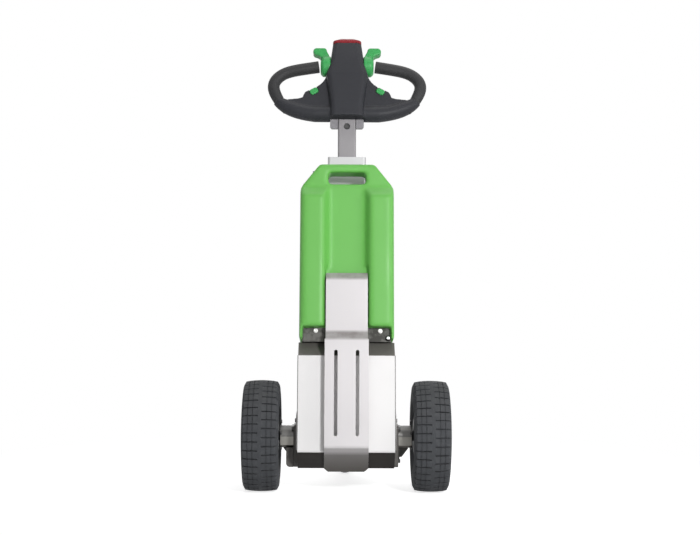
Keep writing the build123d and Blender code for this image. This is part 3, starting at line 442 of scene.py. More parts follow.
DARK_PAINT = Finish("dark_paint", (0.082, 0.077, 0.072), 0.5, drift=0.1, grain_scale=260,
                    grain_depth=0.03, wear=0.35, worn_colour=(0.30, 0.29, 0.27), specular=0.22)
# Near-black that stands for shade: painted shade on the downward-facing floor pan and in the gaps
# along the front panels' edges.
PAN_PAINTED_SHADE = Finish("pan_painted_shade", (0.027, 0.024, 0.022), 0.6, drift=0.15, drift_scale=12,
                   grain_scale=260, grain_depth=0.03, wear=0.1,
                   worn_colour=(0.16, 0.15, 0.14), specular=0.15)
# Dark paint set darker than its own grey, as painted shade under the chassis.
UNDERBODY_PAINT_AND_SHADE = Finish("underbody_paint_and_shade", (0.135, 0.127, 0.120), 0.5, drift=0.1,
                         grain_scale=260, grain_depth=0.03, wear=0.3,
                         worn_colour=(0.30, 0.29, 0.27), specular=0.25)
BLACK_STEEL = Finish("black_steel", (0.022, 0.022, 0.024), 0.45, metallic=0.2, drift=0.1,
                     grain_scale=300, grain_depth=0.02, wear=0.25, specular=0.25)
TRAY_PAINT = Finish("tray_paint", (0.048, 0.046, 0.041), 0.42, metallic=0.15, drift=0.08,
                    grain_scale=300, grain_depth=0.015, wear=0.35,
                    worn_colour=(0.62, 0.61, 0.58), specular=0.25)
# Lighter copy of the tray's paint: painted light where the tray's shoulder faces up.
SHOULDER_PAINTED_LIGHT = Finish("shoulder_painted_light", (0.135, 0.130, 0.118), 0.46, metallic=0.1,
                        drift=0.08, grain_scale=300, grain_depth=0.015, wear=0.3,
                        worn_colour=(0.36, 0.35, 0.33), specular=0.25)
# Its downward faces carry painted shade.
HOUSING_STEEL = Finish("housing_steel", (0.33, 0.32, 0.295), 0.42, metallic=0.6, drift=0.12,
                       grain_scale=320, grain_depth=0.02, wear=0.2, downward_shade=0.8, specular=0.3)
BARREL_STEEL = Finish("barrel_steel", (0.16, 0.156, 0.148), 0.30, metallic=0.25, drift=0.1,
                      grain_scale=320, grain_depth=0.01, wear=0.1, roughness_swing=0.04,
                      specular=0.9)
DARK_BOLT = Finish("dark_bolt", (0.06, 0.06, 0.06), 0.4, metallic=0.7, drift=0.1)
CAST_IRON = Finish("cast_iron", (0.045, 0.045, 0.05), 0.7, metallic=0.3, drift=0.2,
                   grain_scale=220, grain_depth=0.12, specular=0.2)
GREEN_CASE = Finish("green_moulding", (0.162, 0.515, 0.102), 0.42, drift=0.05, grain_scale=650,
                    grain_depth=0.03, roughness_swing=0.06, wear=0.06,
                    worn_colour=(0.32, 0.64, 0.25), dust_and_shade=0.0, specular=0.35)
GREEN_CONTROL = Finish("green_control", (0.052, 0.40, 0.105), 0.34, drift=0.04,
                       grain_scale=700, grain_depth=0.012, wear=0.1,
                       worn_colour=(0.2, 0.62, 0.25), dust_and_shade=0.0, specular=0.35)
HEAD_PLASTIC = Finish("head_plastic", (0.032, 0.033, 0.039), 0.5, drift=0.08, grain_scale=900,
                      grain_depth=0.035, wear=0.1, worn_colour=(0.12, 0.12, 0.13),
                      specular=0.22)
GRIP_RUBBER = Finish("grip_rubber", (0.037, 0.037, 0.039), 0.55, drift=0.1, grain_scale=700,
                     grain_depth=0.05, wear=0.05, specular=0.25)
TYRE_RUBBER = Finish("tyre_rubber", (0.068, 0.071, 0.077), 0.78, drift=0.2, drift_scale=18,
                     grain_scale=500, grain_depth=0.06, wear=0.2,
                     worn_colour=(0.14, 0.145, 0.155), dust_and_shade=0.08, specular=0.15)
CASTOR_RUBBER = Finish("castor_rubber", (0.05, 0.05, 0.055), 0.7, drift=0.15, grain_scale=500,
                       grain_depth=0.04, specular=0.2)
GREY_NYLON = Finish("grey_nylon", (0.3, 0.3, 0.31), 0.5, drift=0.06, grain_scale=400)
BLACK_KNOB = Finish("black_knob", (0.015, 0.015, 0.016), 0.4, drift=0.06, specular=0.3)
RED_BUTTON = Finish("red_button", (0.27, 0.014, 0.022), 0.34, drift=0.04, grain_depth=0.004,
                    coat=0.1, wear=0.05, worn_colour=(0.5, 0.10, 0.10), dust_and_shade=0.0,
                    specular=0.25)


# ---- modelling
def deselect() -> None:
    """Leave edit mode and select nothing."""
    if bpy.context.object and bpy.context.object.mode != "OBJECT":
        bpy.ops.object.mode_set(mode="OBJECT")
    bpy.ops.object.select_all(action="DESELECT")


def activate(piece: Piece) -> Piece:
    """Select one piece alone and make it the active one."""
    deselect()
    piece.select_set(True)
    bpy.context.view_layer.objects.active = piece
    return piece


@contextmanager
def editing(piece: Piece, mode: str = "FACE") -> Iterator[None]:
    """Work on a piece in edit mode.

    Args:
        piece: The mesh to edit.
        mode: VERT, EDGE or FACE selection.
    """
    activate(piece)
    bpy.ops.object.mode_set(mode="EDIT")
    bpy.ops.mesh.select_mode(type=mode)
    yield
    bpy.ops.object.mode_set(mode="OBJECT")


def select_whole() -> None:
    """Select the whole mesh that is being edited."""
    bpy.ops.mesh.select_all(action="SELECT")


def pick_faces(piece: Piece, test: Callable[[bmesh.types.BMFace], bool]) -> None:
    """Select the faces that pass a test, in edit mode.

    Args:
        piece: The mesh being edited.
        test: Says whether a face is wanted.
    """
    mesh = bmesh.from_edit_mesh(piece.data)
    for face in mesh.faces:
        face.select_set(bool(test(face)))
    mesh.select_flush_mode()
    bmesh.update_edit_mesh(piece.data)


def apply_all(piece: Piece) -> None:
    """Apply every modifier of a piece, in order."""
    activate(piece)
    for modifier in list(piece.modifiers):
        bpy.ops.object.modifier_apply(modifier=modifier.name)


def settle(piece: Piece) -> Piece:
    """Put a piece's place into its mesh, so its object sits at the origin."""
    activate(piece)
    bpy.ops.object.transform_apply(location=True, rotation=True, scale=True)
    return piece


def smooth_by(piece: Piece, angle: float) -> Piece:
    """Smooth a piece's shading, except at edges sharper than an angle in degrees."""
    activate(piece)
    bpy.ops.object.shade_smooth_by_angle(angle=math.radians(angle))
    return piece


def soften(piece: Piece, width: float, segments: int = 2, angle: float = 35) -> None:
    """Round the sharp edges of a piece and smooth its shading.

    Args:
        piece: The mesh to round.
        width: Width of the rounding in millimetres.
        segments: Facets across the rounding.
        angle: Edges sharper than this many degrees are rounded.
    """
    bevel = piece.modifiers.new("round", "BEVEL")
    bevel.width = width * MM
    bevel.segments = segments
    bevel.limit_method = "ANGLE"
    bevel.angle_limit = math.radians(angle)
    bevel.harden_normals = False
    apply_all(piece)
    smooth_by(piece, 30)
    even = piece.modifiers.new("even shading", "WEIGHTED_NORMAL")
    even.keep_sharp = True
    even.weight = 50
    apply_all(piece)


def join(pieces: list[Piece], name: str) -> Piece:
    """Join pieces into one mesh.

    Args:
        pieces: The pieces; the first one keeps its object.
        name: Name of the joined piece.

    Returns:
        The joined piece.
    """
    deselect()
    for piece in pieces:
        piece.select_set(True)
    bpy.context.view_layer.objects.active = pieces[0]
    if len(pieces) > 1:
        bpy.ops.object.join()
    joined = bpy.context.view_layer.objects.active
    joined.name = name
    joined.data.name = name
    return joined


def twin(piece: Piece, matrix: Matrix, name: str) -> Piece:
    """Copy a piece with its own mesh, moved by a matrix.

    Args:
        piece: The piece to copy; its object sits at the origin.
        matrix: Where the copy goes.
        name: Name of the copy.

    Returns:
        The copy.
    """
    copy = piece.copy()
    copy.data = piece.data.copy()
    copy.name = name
    bpy.context.scene.collection.objects.link(copy)
    copy.data.transform(matrix)
    return copy


def aim(direction: Vector) -> Matrix:
    """Return the turn that takes +Z to a direction."""
    return direction.to_track_quat("Z", "Y").to_matrix().to_4x4()


def dress(piece: Piece, finish: Finish, body: str, slot: str, *replaced: str) -> Piece:
    """Give a finished piece its material and its body.

    Args:
        piece: The finished mesh, with its place in its vertices.
        finish: The finish it takes.
        body: The body that it rides on.
        slot: Not used.
        *replaced: The frame's nodes that it stands for.

    Returns:
        The same piece.
    """
    piece.data.materials.clear()
    piece.data.materials.append(finish.material())
    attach(piece, body)
    if replaced:
        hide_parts(*replaced)
    log.info("%s: %d faces on %s", piece.name, len(piece.data.polygons), body)
    return piece


def stand_in(piece: Piece, finish: Finish, node: str) -> Piece:
    """Dress a piece that takes the place and body of one node."""
    return dress(piece, finish, bpy.data.objects[node]["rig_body"], node, node)


def repaint(piece: Piece, finish: Finish,
            test: Callable[[bpy.types.MeshPolygon], bool]) -> None:
    """Give some faces of a dressed piece a second finish.

    Args:
        piece: The dressed piece.
        finish: The finish that the chosen faces take.
        test: Says whether a face is chosen.
    """
    piece.data.materials.append(finish.material())
    place = len(piece.data.materials) - 1
    for face in piece.data.polygons:
        if test(face):
            face.material_index = place


def merge(piece: Piece, distance: float = 1e-6, outward: bool = True) -> None:
    """Merge a piece's doubles.

    Args:
        piece: The mesh to merge.
        distance: How near doubles lie, in metres.
        outward: Whether its faces are turned outwards too.
    """
    with editing(piece, "VERT"):
        select_whole()
        bpy.ops.mesh.remove_doubles(threshold=distance)
        if outward:
            bpy.ops.mesh.normals_make_consistent(inside=False)


def cube(name: str, size: Sequence[float], middle: Sequence[float]) -> Piece:
    """Return a block, to be shaped, with its size and middle in metres."""
    deselect()
    bpy.ops.mesh.primitive_cube_add(size=1.0, location=middle)
    block = bpy.context.object
    block.name = name
    block.scale = size
    return settle(block)


def slab(name: str, datum: Datum, across: Sequence[float], depth: Sequence[float],
         rise: Sequence[float]) -> Piece:
    """Model a block that lies square to the column.

    Args:
        name: Name of the piece.
        datum: The frame's points.
        across: Its sides, in millimetres to the right of the middle.
        depth: Its front and back, in millimetres behind the axle.
        rise: Its bottom and top, in millimetres along the column.

    Returns:
        The block.
    """
    sides = (across, depth, rise)
    block = cube(name, [(high - low) * MM for low, high in sides], (0, 0, 0))
    middle = [(low + high) / 2 for low, high in sides]
    block.data.transform(Matrix.Translation(datum.at(*middle))
                         @ Matrix.Rotation(-datum.lean, 4, "X"))
    return block


def copy_of(node: str, name: str) -> Piece:
    """Return a new piece with a copy of a node's mesh."""
    piece = bpy.data.objects.new(name, bpy.data.objects[node].data.copy())
    bpy.context.scene.collection.objects.link(piece)
    return piece


def outline_spin(name: str, profile: list[Point2], centre: Vector, axis: Vector,
                 steps: int) -> Piece:
    """Turn a closed outline about an axis, as on a lathe.

    Args:
        name: Name of the piece.
        profile: Radius and distance along the axis of each corner, in millimetres.
        centre: Point on the axis that the distances start from.
        axis: Direction of the axis.
        steps: Facets round the piece.

    Returns:
        The turned piece.
    """
    deselect()
    bpy.ops.mesh.primitive_plane_add(size=MM, location=(0, 0, 0))
    piece = bpy.context.object
    piece.name = name
    with editing(piece, "VERT"):
        select_whole()
        bpy.ops.mesh.merge(type="CENTER")
        here = Vector((profile[0][0] * MM, 0, profile[0][1] * MM))
        bpy.ops.transform.translate(value=here)
        for radius, along in profile[1:]:
            there = Vector((radius * MM, 0, along * MM))
            bpy.ops.mesh.extrude_vertices_move(
                TRANSFORM_OT_translate={"value": there - here})
            here = there
        select_whole()
        start = Vector((profile[0][0] * MM, 0, profile[0][1] * MM))
        if (here - start).length > 1e-9 and profile[0][0] > 0 and profile[-1][0] > 0:
            mesh = bmesh.from_edit_mesh(piece.data)
            mesh.verts.ensure_lookup_table()
            first = min(mesh.verts, key=lambda v: (v.co - start).length)
            last = min(mesh.verts, key=lambda v: (v.co - here).length)
            for vert in mesh.verts:
                vert.select_set(vert in (first, last))
            bmesh.update_edit_mesh(piece.data)
            bpy.ops.mesh.edge_face_add()
            select_whole()
        bpy.ops.mesh.spin(steps=steps, angle=2 * math.pi, center=(0, 0, 0), axis=(0, 0, 1))
    merge(piece)
    piece.data.transform(Matrix.Translation(centre) @ aim(axis))
    return piece


def cast_from(node: str, edge: float, finish: Finish) -> Piece:
    """Make a finished piece from a node of the frame, with its edges broken.

    Args:
        node: The node whose form is kept.
        edge: Width of the broken edges in millimetres.
        finish: The finish it takes.

    Returns:
        The piece, which stands for the node.
    """
    piece = copy_of(node, f"{node}_skin")
    with editing(piece, "VERT"):
        select_whole()
        bpy.ops.mesh.remove_doubles(threshold=NODE_GAP)
        bpy.ops.mesh.dissolve_limited(angle_limit=math.radians(0.5))
    soften(piece, edge)
    return stand_in(piece, finish, node)


# ---- fasteners
@dataclass
class CapScrew:
    """A socket-head cap screw with a washer.

    Attributes:
        head: Head diameter in millimetres.
        height: Head height in millimetres.
        washer: Washer diameter in millimetres, or 0 for none.
        washer_height: Washer thickness in millimetres.
        socket: Width of the rim round the socket, as a share of the head.
    """

    head: float = 8.5
    height: float = 4.5
    washer: float = 12.0
    washer_height: float = 1.2
    socket: float = 0.17

    def build(self, name: str, place: Vector, axis: Vector) -> Piece:
        """Model one screw.

        Args:
            name: Name of the piece.
            place: Middle of the seat.
            axis: Direction that the head stands out in.

        Returns:
            The screw's mesh.
        """
        base = self.washer_height if self.washer else 0.0
        parts = []
        if self.washer:
            parts.append(outline_spin(name + "_washer", [
                (self.head * 0.3, 0), (self.washer / 2, 0), (self.washer / 2, base * 0.8),
                (self.washer / 2 - 0.2, base), (self.head * 0.3, base)],
                Vector(), Vector((0, 0, 1)), 24))
        deselect()
        bpy.ops.mesh.primitive_cylinder_add(vertices=24, radius=self.head / 2 * MM,
                                            depth=self.height * MM,
                                            location=(0, 0, (base + self.height / 2) * MM))
        head = bpy.context.object
        with editing(head):
            pick_faces(head, lambda f: f.normal.z > 0.9)
            bpy.ops.mesh.inset(thickness=0.5 * MM)
            bpy.ops.mesh.inset(thickness=self.head * self.socket * MM)
            bpy.ops.mesh.extrude_region_move(
                TRANSFORM_OT_translate={"value": (0, 0, -self.height * 0.5 * MM)})
        settle(head)
        soften(head, 0.35, 2, 50)
        parts.append(head)
        screw = join(parts, name)
        screw.data.transform(Matrix.Translation(place) @ aim(axis))
        return screw


def screws(name: str, places: list[Vector], axis: Vector, body: str, slot: str,
           style: CapScrew, finish: Finish = FASTENER) -> Piece:
    """Model a set of like screws as one piece.

    Args:
        name: Name of the piece.
        places: Middle of each seat.
        axis: Direction that the heads stand out in.
        body: The body that they ride on.
        slot: The record's slot they belong to.
        style: The screw to copy.
        finish: The finish they take.

    Returns:
        The joined piece.
    """
    first = style.build(name, places[0], axis)
    others = [twin(first, Matrix.Translation(place - places[0]), name) for place in places[1:]]
    return dress(join([first, *others], name), finish, body, slot)


# ---- drive wheels
def arc(start: Point2, end: Point2, bulge: float, steps: int) -> list[Point2]:
    """Return points on a shallow arc between two corners, without its first point.

    Args:
        start: First corner.
        end: Last corner.
        bulge: Height of the arc over its chord, to the left of the way it runs.
        steps: Points to return.

    Returns:
        The points, ending with the last corner.
    """
    across, along = end[0] - start[0], end[1] - start[1]
    length = math.hypot(across, along)
    points = []
    for index in range(1, steps + 1):
        share = index / steps
        lift = 4 * bulge * share * (1 - share) / length
        points.append((start[0] + across * share - along * lift,
                       start[1] + along * share + across * lift))
    return points


@dataclass
class DriveWheel:
    """A treaded tyre with its rim, hub, valve and bolts, in millimetres.

    Attributes:
        side: Which side of the machine it is on.
        sign: +1 on the right, -1 on the left.
        radius: Radius over the tread.
        width: Width over the sidewalls.
        tread: Width across the tread.
        crown: Fall of the tread from its middle to its edges.
        shoulder: Radius and half-width at the shoulder's foot.
        widest: Radius at the widest point.
        lip: Radius and half-width where the sidewall meets the rim.
        bead: Radius at the bead.
        groove: Depth of the tread.
        pitches: Tread blocks round each half of the tyre.
        gap: Width of a cross groove.
        rib: Half-width of the plain rib in the middle.
        sipes: Places of the fine grooves along each block, as shares of its width.
        sipe: Half-width and depth of a fine groove.
        facets: Facets round the tyre.
        bolts: Bolts in the hub's flange.
        bolt_circle: Radius of the ring of bolts.
        bolt_seat: From the hub's outer end to the bolts' seats.
        dark_hub: The hub is black nearer than this to the wheel's middle plane, and inside it.
        valve_foot: The valve's foot, outwards and up from the wheel's middle.
    """

    side: str
    sign: int
    radius: float = 130.0
    width: float = 86.0
    tread: float = 74.0
    crown: float = 3.0
    shoulder: Point2 = (118.0, 41.5)
    widest: float = 96.0
    lip: Point2 = (67.0, 36.0)
    bead: float = 62.0
    groove: float = 4.4
    pitches: int = 40
    gap: float = 3.4
    rib: float = 4.4
    sipes: tuple[float, ...] = (0.36, 0.70)
    sipe: Point2 = (0.6, 2.4)
    facets: int = 96
    bolts: int = 5
    bolt_circle: float = 33.0
    bolt_seat: float = 39.0
    dark_hub: float = 20.0
    valve_foot: Point2 = (12.0, -58.5)

    def centre(self, datum: Datum) -> Vector:
        """Return the middle of the wheel."""
        low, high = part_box(f"tyre_{self.side}")
        return Vector(((low.x + high.x) / 2, datum.axle.y, datum.axle.z))

    def fall(self, along: float) -> float:
        """Return how far the tread has fallen at a distance from its middle."""
        return self.crown * (2 * along / self.tread) ** 2

    def ring(self, name: str, profile: list[Point2]) -> Piece:
        """Turn an outline about the axle, with the wheel's middle at the origin."""
        return outline_spin(name, profile, Vector(), Vector((1, 0, 0)), self.facets)

    def carcass(self) -> Piece:
        """Turn the tyre's carcass, up to the bottom of the tread."""
        floor, half = self.radius - self.groove, self.tread / 2
        foot = (self.shoulder[0], self.shoulder[1] - 0.5)
        right = [(floor - self.fall(half * step / 5), half * step / 5) for step in range(5)]
        right += [(floor - self.crown, half - 0.6), foot,
                  (foot[0] - 1.4, foot[1] + 0.7), (foot[0] - 2.4, foot[1] + 0.1)]
        right += arc(right[-1], (self.widest + 6, self.width / 2 - 0.1), -0.5, 4)
        ring = (self.widest + 4, self.width / 2)
        right += [ring, (ring[0] - 3.0, ring[1]), (ring[0] - 4.0, ring[1] - 0.7)]
        right += arc(right[-1], (self.lip[0] + 8, self.lip[1] + 3.2), -1.8, 6)
        right += [(self.lip[0] + 7, self.lip[1] + 3.6), (self.lip[0] + 3, self.lip[1] + 2.6),
                  (self.lip[0] + 0.4, self.lip[1] + 0.2), (self.bead, self.lip[1] - 3)]
        left = [(radius, -along) for radius, along in reversed(right[1:])]
        return smooth_by(self.ring(f"carcass_{self.side}", right + left), 32)

    def middle_rib(self) -> Piece:
        """Turn the plain rib that runs round the middle of the tread."""
        floor = self.radius - self.groove - 1
        half = [(floor, self.rib), (self.radius - 0.5, self.rib), (self.radius, self.rib - 0.6)]
        return self.ring("rib", [(radius, -along) for radius, along in half] + half[::-1])

    def flat_block(self, low: float, high: float) -> Piece:
        """Model one tread block with its fine grooves, not yet bent round the tyre.

        Args:
            low: Its inner end, from the middle of the tread.
            high: Its outer end.

        Returns:
            The block.
        """
        reach, tall = high - low, self.groove + 1.5
        length = 2 * math.pi * self.radius / self.pitches - self.gap
        half, deep = self.sipe
        middles = [low + reach * share for share in self.sipes]
        cuts = [((middle + side) * MM, 0, 0) for middle in middles for side in (-half, half)]
        bends = [(0, turn * MM, 0) for turn in (-length / 4, 0.0, length / 4)]
        block = cube("block", (reach * MM, length * MM, tall * MM),
                     ((low + high) / 2 * MM, 0, (self.radius - tall / 2) * MM))
        with editing(block):
            for places, normal in ((cuts, (1, 0, 0)), (bends, (0, 1, 0))):
                for place in places:
                    select_whole()
                    bpy.ops.mesh.bisect(plane_co=place, plane_no=normal)
            pick_faces(block, lambda f: f.normal.z > 0.9 and any(
                abs(f.calc_center_median().x - middle * MM) < half / 2 * MM for middle in middles))
            bpy.ops.mesh.extrude_region_move(TRANSFORM_OT_translate={"value": (0, 0, -deep * MM)})
        return block

    def blocks(self, outward: int) -> Piece:
        """Bend a tread block to the tyre and copy it round one half.

        Args:
            outward: +1 for the half at +X, -1 for the other.

        Returns:
            The whole ring of blocks.
        """
        high = self.tread / 2
        block = self.flat_block(self.rib - 0.4, high)
        for vertex in block.data.vertices:
            across, round_, tall = (value / MM for value in vertex.co)
            if across > high - 0.1:
                deep = tall < self.radius - self.groove
                across = self.shoulder[1] if deep else across
                tall = self.shoulder[0] + self.crown if deep else tall - 0.5
            tall -= self.fall(min(across, high))
            angle = round_ / self.radius
            vertex.co = (outward * across * MM, tall * math.sin(angle) * MM,
                         tall * math.cos(angle) * MM)
        with editing(block):
            select_whole()
            bpy.ops.mesh.normals_make_consistent(inside=False)
            if outward < 0:
                bpy.ops.transform.rotate(value=math.pi / self.pitches, orient_axis="X",
                                         center_override=(0, 0, 0))
            select_whole()
            bpy.ops.mesh.spin(steps=self.pitches, angle=2 * math.pi, dupli=True,
                              center=(0, 0, 0), axis=(1, 0, 0))
        merge(block, outward=False)
        return block

    def build(self, datum: Datum) -> None:
        """Model and dress the whole wheel.

        Args:
            datum: The frame's points.
        """
        centre = self.centre(datum)
        body = f"wheel_{self.side}"
        tread = join([self.middle_rib(), self.blocks(1), self.blocks(-1)], f"tread_{self.side}")
        smooth_by(tread, 25)
        tyre = join([self.carcass(), tread], f"treaded_tyre_{self.side}")
        tyre.data.transform(Matrix.Translation(centre))
        dress(tyre, TYRE_RUBBER, body, f"tyre_{self.side}", f"tyre_{self.side}")
        cast_from(f"rim_{self.side}", 0.8, BLACK_STEEL)
        hub = cast_from(f"hub_{self.side}", 0.8, TURNED_STEEL)
        repaint(hub, BLACK_STEEL,
                lambda f: self.sign * (f.center.x - centre.x) < self.dark_hub * MM)
        self.flange_bolts(centre, body)
        self.valve(centre, body)

    def flange_bolts(self, centre: Vector, body: str) -> None:
        """Fit the ring of bolts that holds the rim to the hub."""
        low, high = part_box(f"hub_{self.side}")
        outer = high.x if self.sign > 0 else low.x
        seat = outer - self.sign * self.bolt_seat * MM
        reach = self.bolt_circle * MM
        angles = [2 * math.pi * (index + 0.25) / self.bolts for index in range(self.bolts)]
        places = [Vector((seat, centre.y + reach * math.cos(angle),
                          centre.z + reach * math.sin(angle))) for angle in angles]
        screws(f"hub_bolts_{self.side}", places, Vector((-self.sign, 0, 0)), body,
               f"hub_{self.side}", CapScrew(head=9, height=4, washer=0), DARK_BOLT)

    def valve(self, centre: Vector, body: str) -> None:
        """Fit the tyre's valve, which stands out of the rim's barrel."""
        out, up = self.valve_foot
        foot = centre + Vector((self.sign * out * MM, 0, up * MM))
        stem = outline_spin(f"valve_{self.side}", [
            (0.0, 0.0), (5.0, 0.0), (4.6, 2.0), (3.4, 5.0), (3.2, 11.0), (2.6, 11.6),
            (2.6, 17.0), (3.0, 17.4), (3.0, 22.5), (2.4, 23.0), (0.0, 23.0)],
            foot, Vector((self.sign * 0.75, 0, 0.66)), 20)
        soften(stem, 0.2, 1, 50)
        dress(stem, GRIP_RUBBER, body, f"tyre_{self.side}")


# ---- the machine
@dataclass
class Machine:
    """Everything on the chassis, the castor and the tiller that keeps the frame's own form.

    Attributes:
        skins: Node name to the width of its broken edges, in millimetres, and its finish.
        knob_drop: How far the clamp's knob sits under its node, along the column.
        knob_sink: How much further in it is screwed.
        shoulder: Rise under which the battery's tray takes a paler paint on its upward-facing
            shoulder, as painted light.
        barrel_foot: Height from the axle over which a housing's barrel is bright.
        flange_side: Half-width within which a housing's flange takes the underbody paint, darkened
            as painted shade.
        housing_foot: Height from the axle under which a housing takes that paint and its painted
            shade.
    """

    skins: dict[str, tuple[float, Finish]] = field(default_factory=lambda: {
        "chassis_cover": (0.6, STAINLESS),
        "side_plate_left": (0.4, STAINLESS),
        "side_plate_right": (0.4, STAINLESS),
        "rear_cover": (0.5, STAINLESS),
        # The floor pan is near-black as painted shade.
        "floor_plate": (0.4, PAN_PAINTED_SHADE),
        "coupling_strap": (0.7, STAINLESS_STRAP),
        "drive_unit": (3.0, CAST_IRON),
        "axle_housing_left": (1.2, HOUSING_STEEL),
        "axle_housing_right": (1.2, HOUSING_STEEL),
        # The brake block's paint is darkened as painted shade.
        "brake_block_left": (1.0, UNDERBODY_PAINT_AND_SHADE),
        "battery_tray": (0.6, TRAY_PAINT),
        "column": (0.4, COLUMN_STEEL),
        "column_guide": (0.5, GREY_NYLON),
        "clamp_knob": (1.0, BLACK_KNOB),
        "castor_arm": (1.0, DARK_PAINT),
        "castor_housing": (0.6, ZINC),
        "castor_fork": (0.6, ZINC),
        "castor_tyre": (0.3, CASTOR_RUBBER),
        "castor_hub": (0.5, GREY_NYLON),
        "tiller_tube": (0.4, TILLER_STEEL),
        "tiller_clevis": (0.6, CLEVIS_STEEL),
        "throttle_shaft": (0.4, FASTENER),
    })
    knob_drop: float = 8.0
    knob_sink: float = 4.0
    shoulder: float = 214.0
    barrel_foot: float = -1.0
    flange_side: float = 123.2
    housing_foot: float = -24.5

    def build(self, datum: Datum) -> None:
        """Give every carried-over node its broken edges and its finish.

        Args:
            datum: The frame's points.
        """
        for node, (edge, finish) in self.skins.items():
            piece = cast_from(node, edge, finish)
            if node == "clamp_knob":
                sunk = Vector((self.knob_sink * MM, 0, 0))
                piece.data.transform(Matrix.Translation(datum.up * -self.knob_drop * MM + sunk))
            elif node == "battery_tray":
                # The tray's upward-facing shoulder takes the lighter paint: painted light.
                repaint(piece, SHOULDER_PAINTED_LIGHT, lambda f: datum.rise_of(f.center) < self.shoulder)
            elif node.startswith("axle_housing"):
                self.paint_housing(piece, datum.axle.z)

    def paint_housing(self, piece: Piece, axle: float) -> None:
        """Give an axle housing its bright barrel, and its flange and foot in the underbody paint,
        darkened as painted shade.

        Args:
            piece: The dressed housing.
            axle: Height of the axle in metres.
        """
        barrel, foot = axle + self.barrel_foot * MM, axle + self.housing_foot * MM
        repaint(piece, BARREL_STEEL, lambda f: f.center.z > barrel)
        # Flange and foot take the underbody paint, which holds painted shade.
        repaint(piece, UNDERBODY_PAINT_AND_SHADE, lambda f: abs(f.center.x) < self.flange_side * MM
                or (f.center.z < foot and f.normal.z > -0.98))


@dataclass(frozen=True)
class HeadFit:
    """How the pieces of the steering head are let out along it.

    Attributes:
        place: Depth and rise of the head's own frame on the column, in millimetres.
        lean: Degrees that the head leans back from upright.
        still: Height up the head that stays where it is.
        stretch: How much longer the head is made.
    """

    place: Point2 = (45.0, 770.0)
    lean: float = 20.0
    still: float = 184.0
    stretch: float = 1.027

    @property
    def up(self) -> Vector:
        """Direction up the head."""
        lean = math.radians(self.lean)
        return Vector((0.0, math.sin(lean), math.cos(lean)))

    def at(self, datum: Datum, across: float, height: float) -> Vector:
        """Return a point in the plane of the grips, before the stretch."""
        return datum.at(0, *self.place) + Vector((across * MM, 0, 0)) + self.up * height * MM

    def matrix(self, datum: Datum, lift: float = 0.0) -> Matrix:
        """Return the stretch along the head, with a lift.

        Args:
            datum: The frame's points.
            lift: How far the piece is raised along the head, in millimetres.

        Returns:
            The matrix that a piece's mesh is moved by.
        """
        still = self.at(datum, 0, self.still)
        longer = Matrix.Scale(self.stretch, 4, self.up)
        return (Matrix.Translation(self.up * lift * MM) @ Matrix.Translation(still) @ longer
                @ Matrix.Translation(-still))


HEAD_FIT = HeadFit()


@dataclass
class HandGrip:
    """A rubber grip on one end of the handlebar.

    Attributes:
        side: Which side of the machine it is on.
        sign: +1 on the right, -1 on the left.
        radius: Radius of the rubber.
        route: Control points in the plane of the head: across, height and swelling.
    """

    side: str
    sign: int
    radius: float = 14.3
    route: tuple[Point, ...] = (
        (150.0, 45.0, 0.82), (163.0, 58.0, 0.88), (177.5, 82.0, 1.02), (185.0, 102.0, 1.06),
        (184.0, 119.0, 1.04), (172.0, 135.0, 1.02), (152.0, 148.0, 1.01), (122.0, 155.0, 1.02),
        (71.0, 162.8, 1.03))

    def build(self, datum: Datum) -> None:
        """Draw the grip's line, thicken it and round its ends.

        Args:
            datum: The frame's points.
        """
        deselect()
        bpy.ops.curve.primitive_nurbs_path_add(location=(0, 0, 0))
        line = bpy.context.object
        spline = line.data.splines[0]
        spline.points.add(len(self.route) - len(spline.points))
        for point, (across, height, swelling) in zip(spline.points, self.route):
            place = HEAD_FIT.at(datum, self.sign * across, height)
            point.co = (*place, 1.0)
            point.radius = swelling
        spline.order_u = 4
        spline.use_endpoint_u = True
        spline.resolution_u = 8
        line.data.dimensions = "3D"
        line.data.bevel_depth = self.radius * MM
        line.data.bevel_resolution = 10
        line.data.use_fill_caps = True
        activate(line)
        bpy.ops.object.convert(target="MESH")
        grip = bpy.context.object
        grip.name = f"rubber_grip_{self.side}"
        merge(grip)
        settle(grip)
        grip.data.transform(HEAD_FIT.matrix(datum))
        soften(grip, 1.6, 3, 50)
        stand_in(grip, GRIP_RUBBER, f"grip_{self.side}")


@dataclass
class Moulding:
    """A moulded part whose faces flow softly into each other.

    Attributes:
        node: The node whose form is softened.
        name: Name of the piece.
        finish: The finish it takes.
        voxel: Size of the remesh in millimetres.
        blend: Passes of smoothing over the joins.
        swell: How far the surface is let out before it is smoothed, in millimetres.
        lift: How far it is raised along the head, or None where it isn't part of the head.
    """

    node: str
    name: str
    finish: Finish
    voxel: float = 1.5
    blend: int = 7
    swell: float = 0.0
    lift: float | None = None

    def build(self, datum: Datum) -> None:
        """Melt the node's form into one soft moulding.

        Args:
            datum: The frame's points.
        """
        piece = copy_of(self.node, self.name)
        if self.lift is not None:
            piece.data.transform(HEAD_FIT.matrix(datum, self.lift))
        merge(piece, distance=NODE_GAP, outward=False)
        remesh = piece.modifiers.new("melt", "REMESH")
        remesh.mode = "VOXEL"
        remesh.voxel_size = self.voxel * MM
        remesh.adaptivity = 0.0
        if self.swell:
            proud = piece.modifiers.new("swell", "DISPLACE")
            proud.strength = self.swell * MM
            proud.mid_level = 0.0
        smooth = piece.modifiers.new("blend", "SMOOTH")
        smooth.factor = 0.5
        smooth.iterations = self.blend
        apply_all(piece)
        activate(piece)
        bpy.ops.object.shade_smooth()
        stand_in(piece, self.finish, self.node)


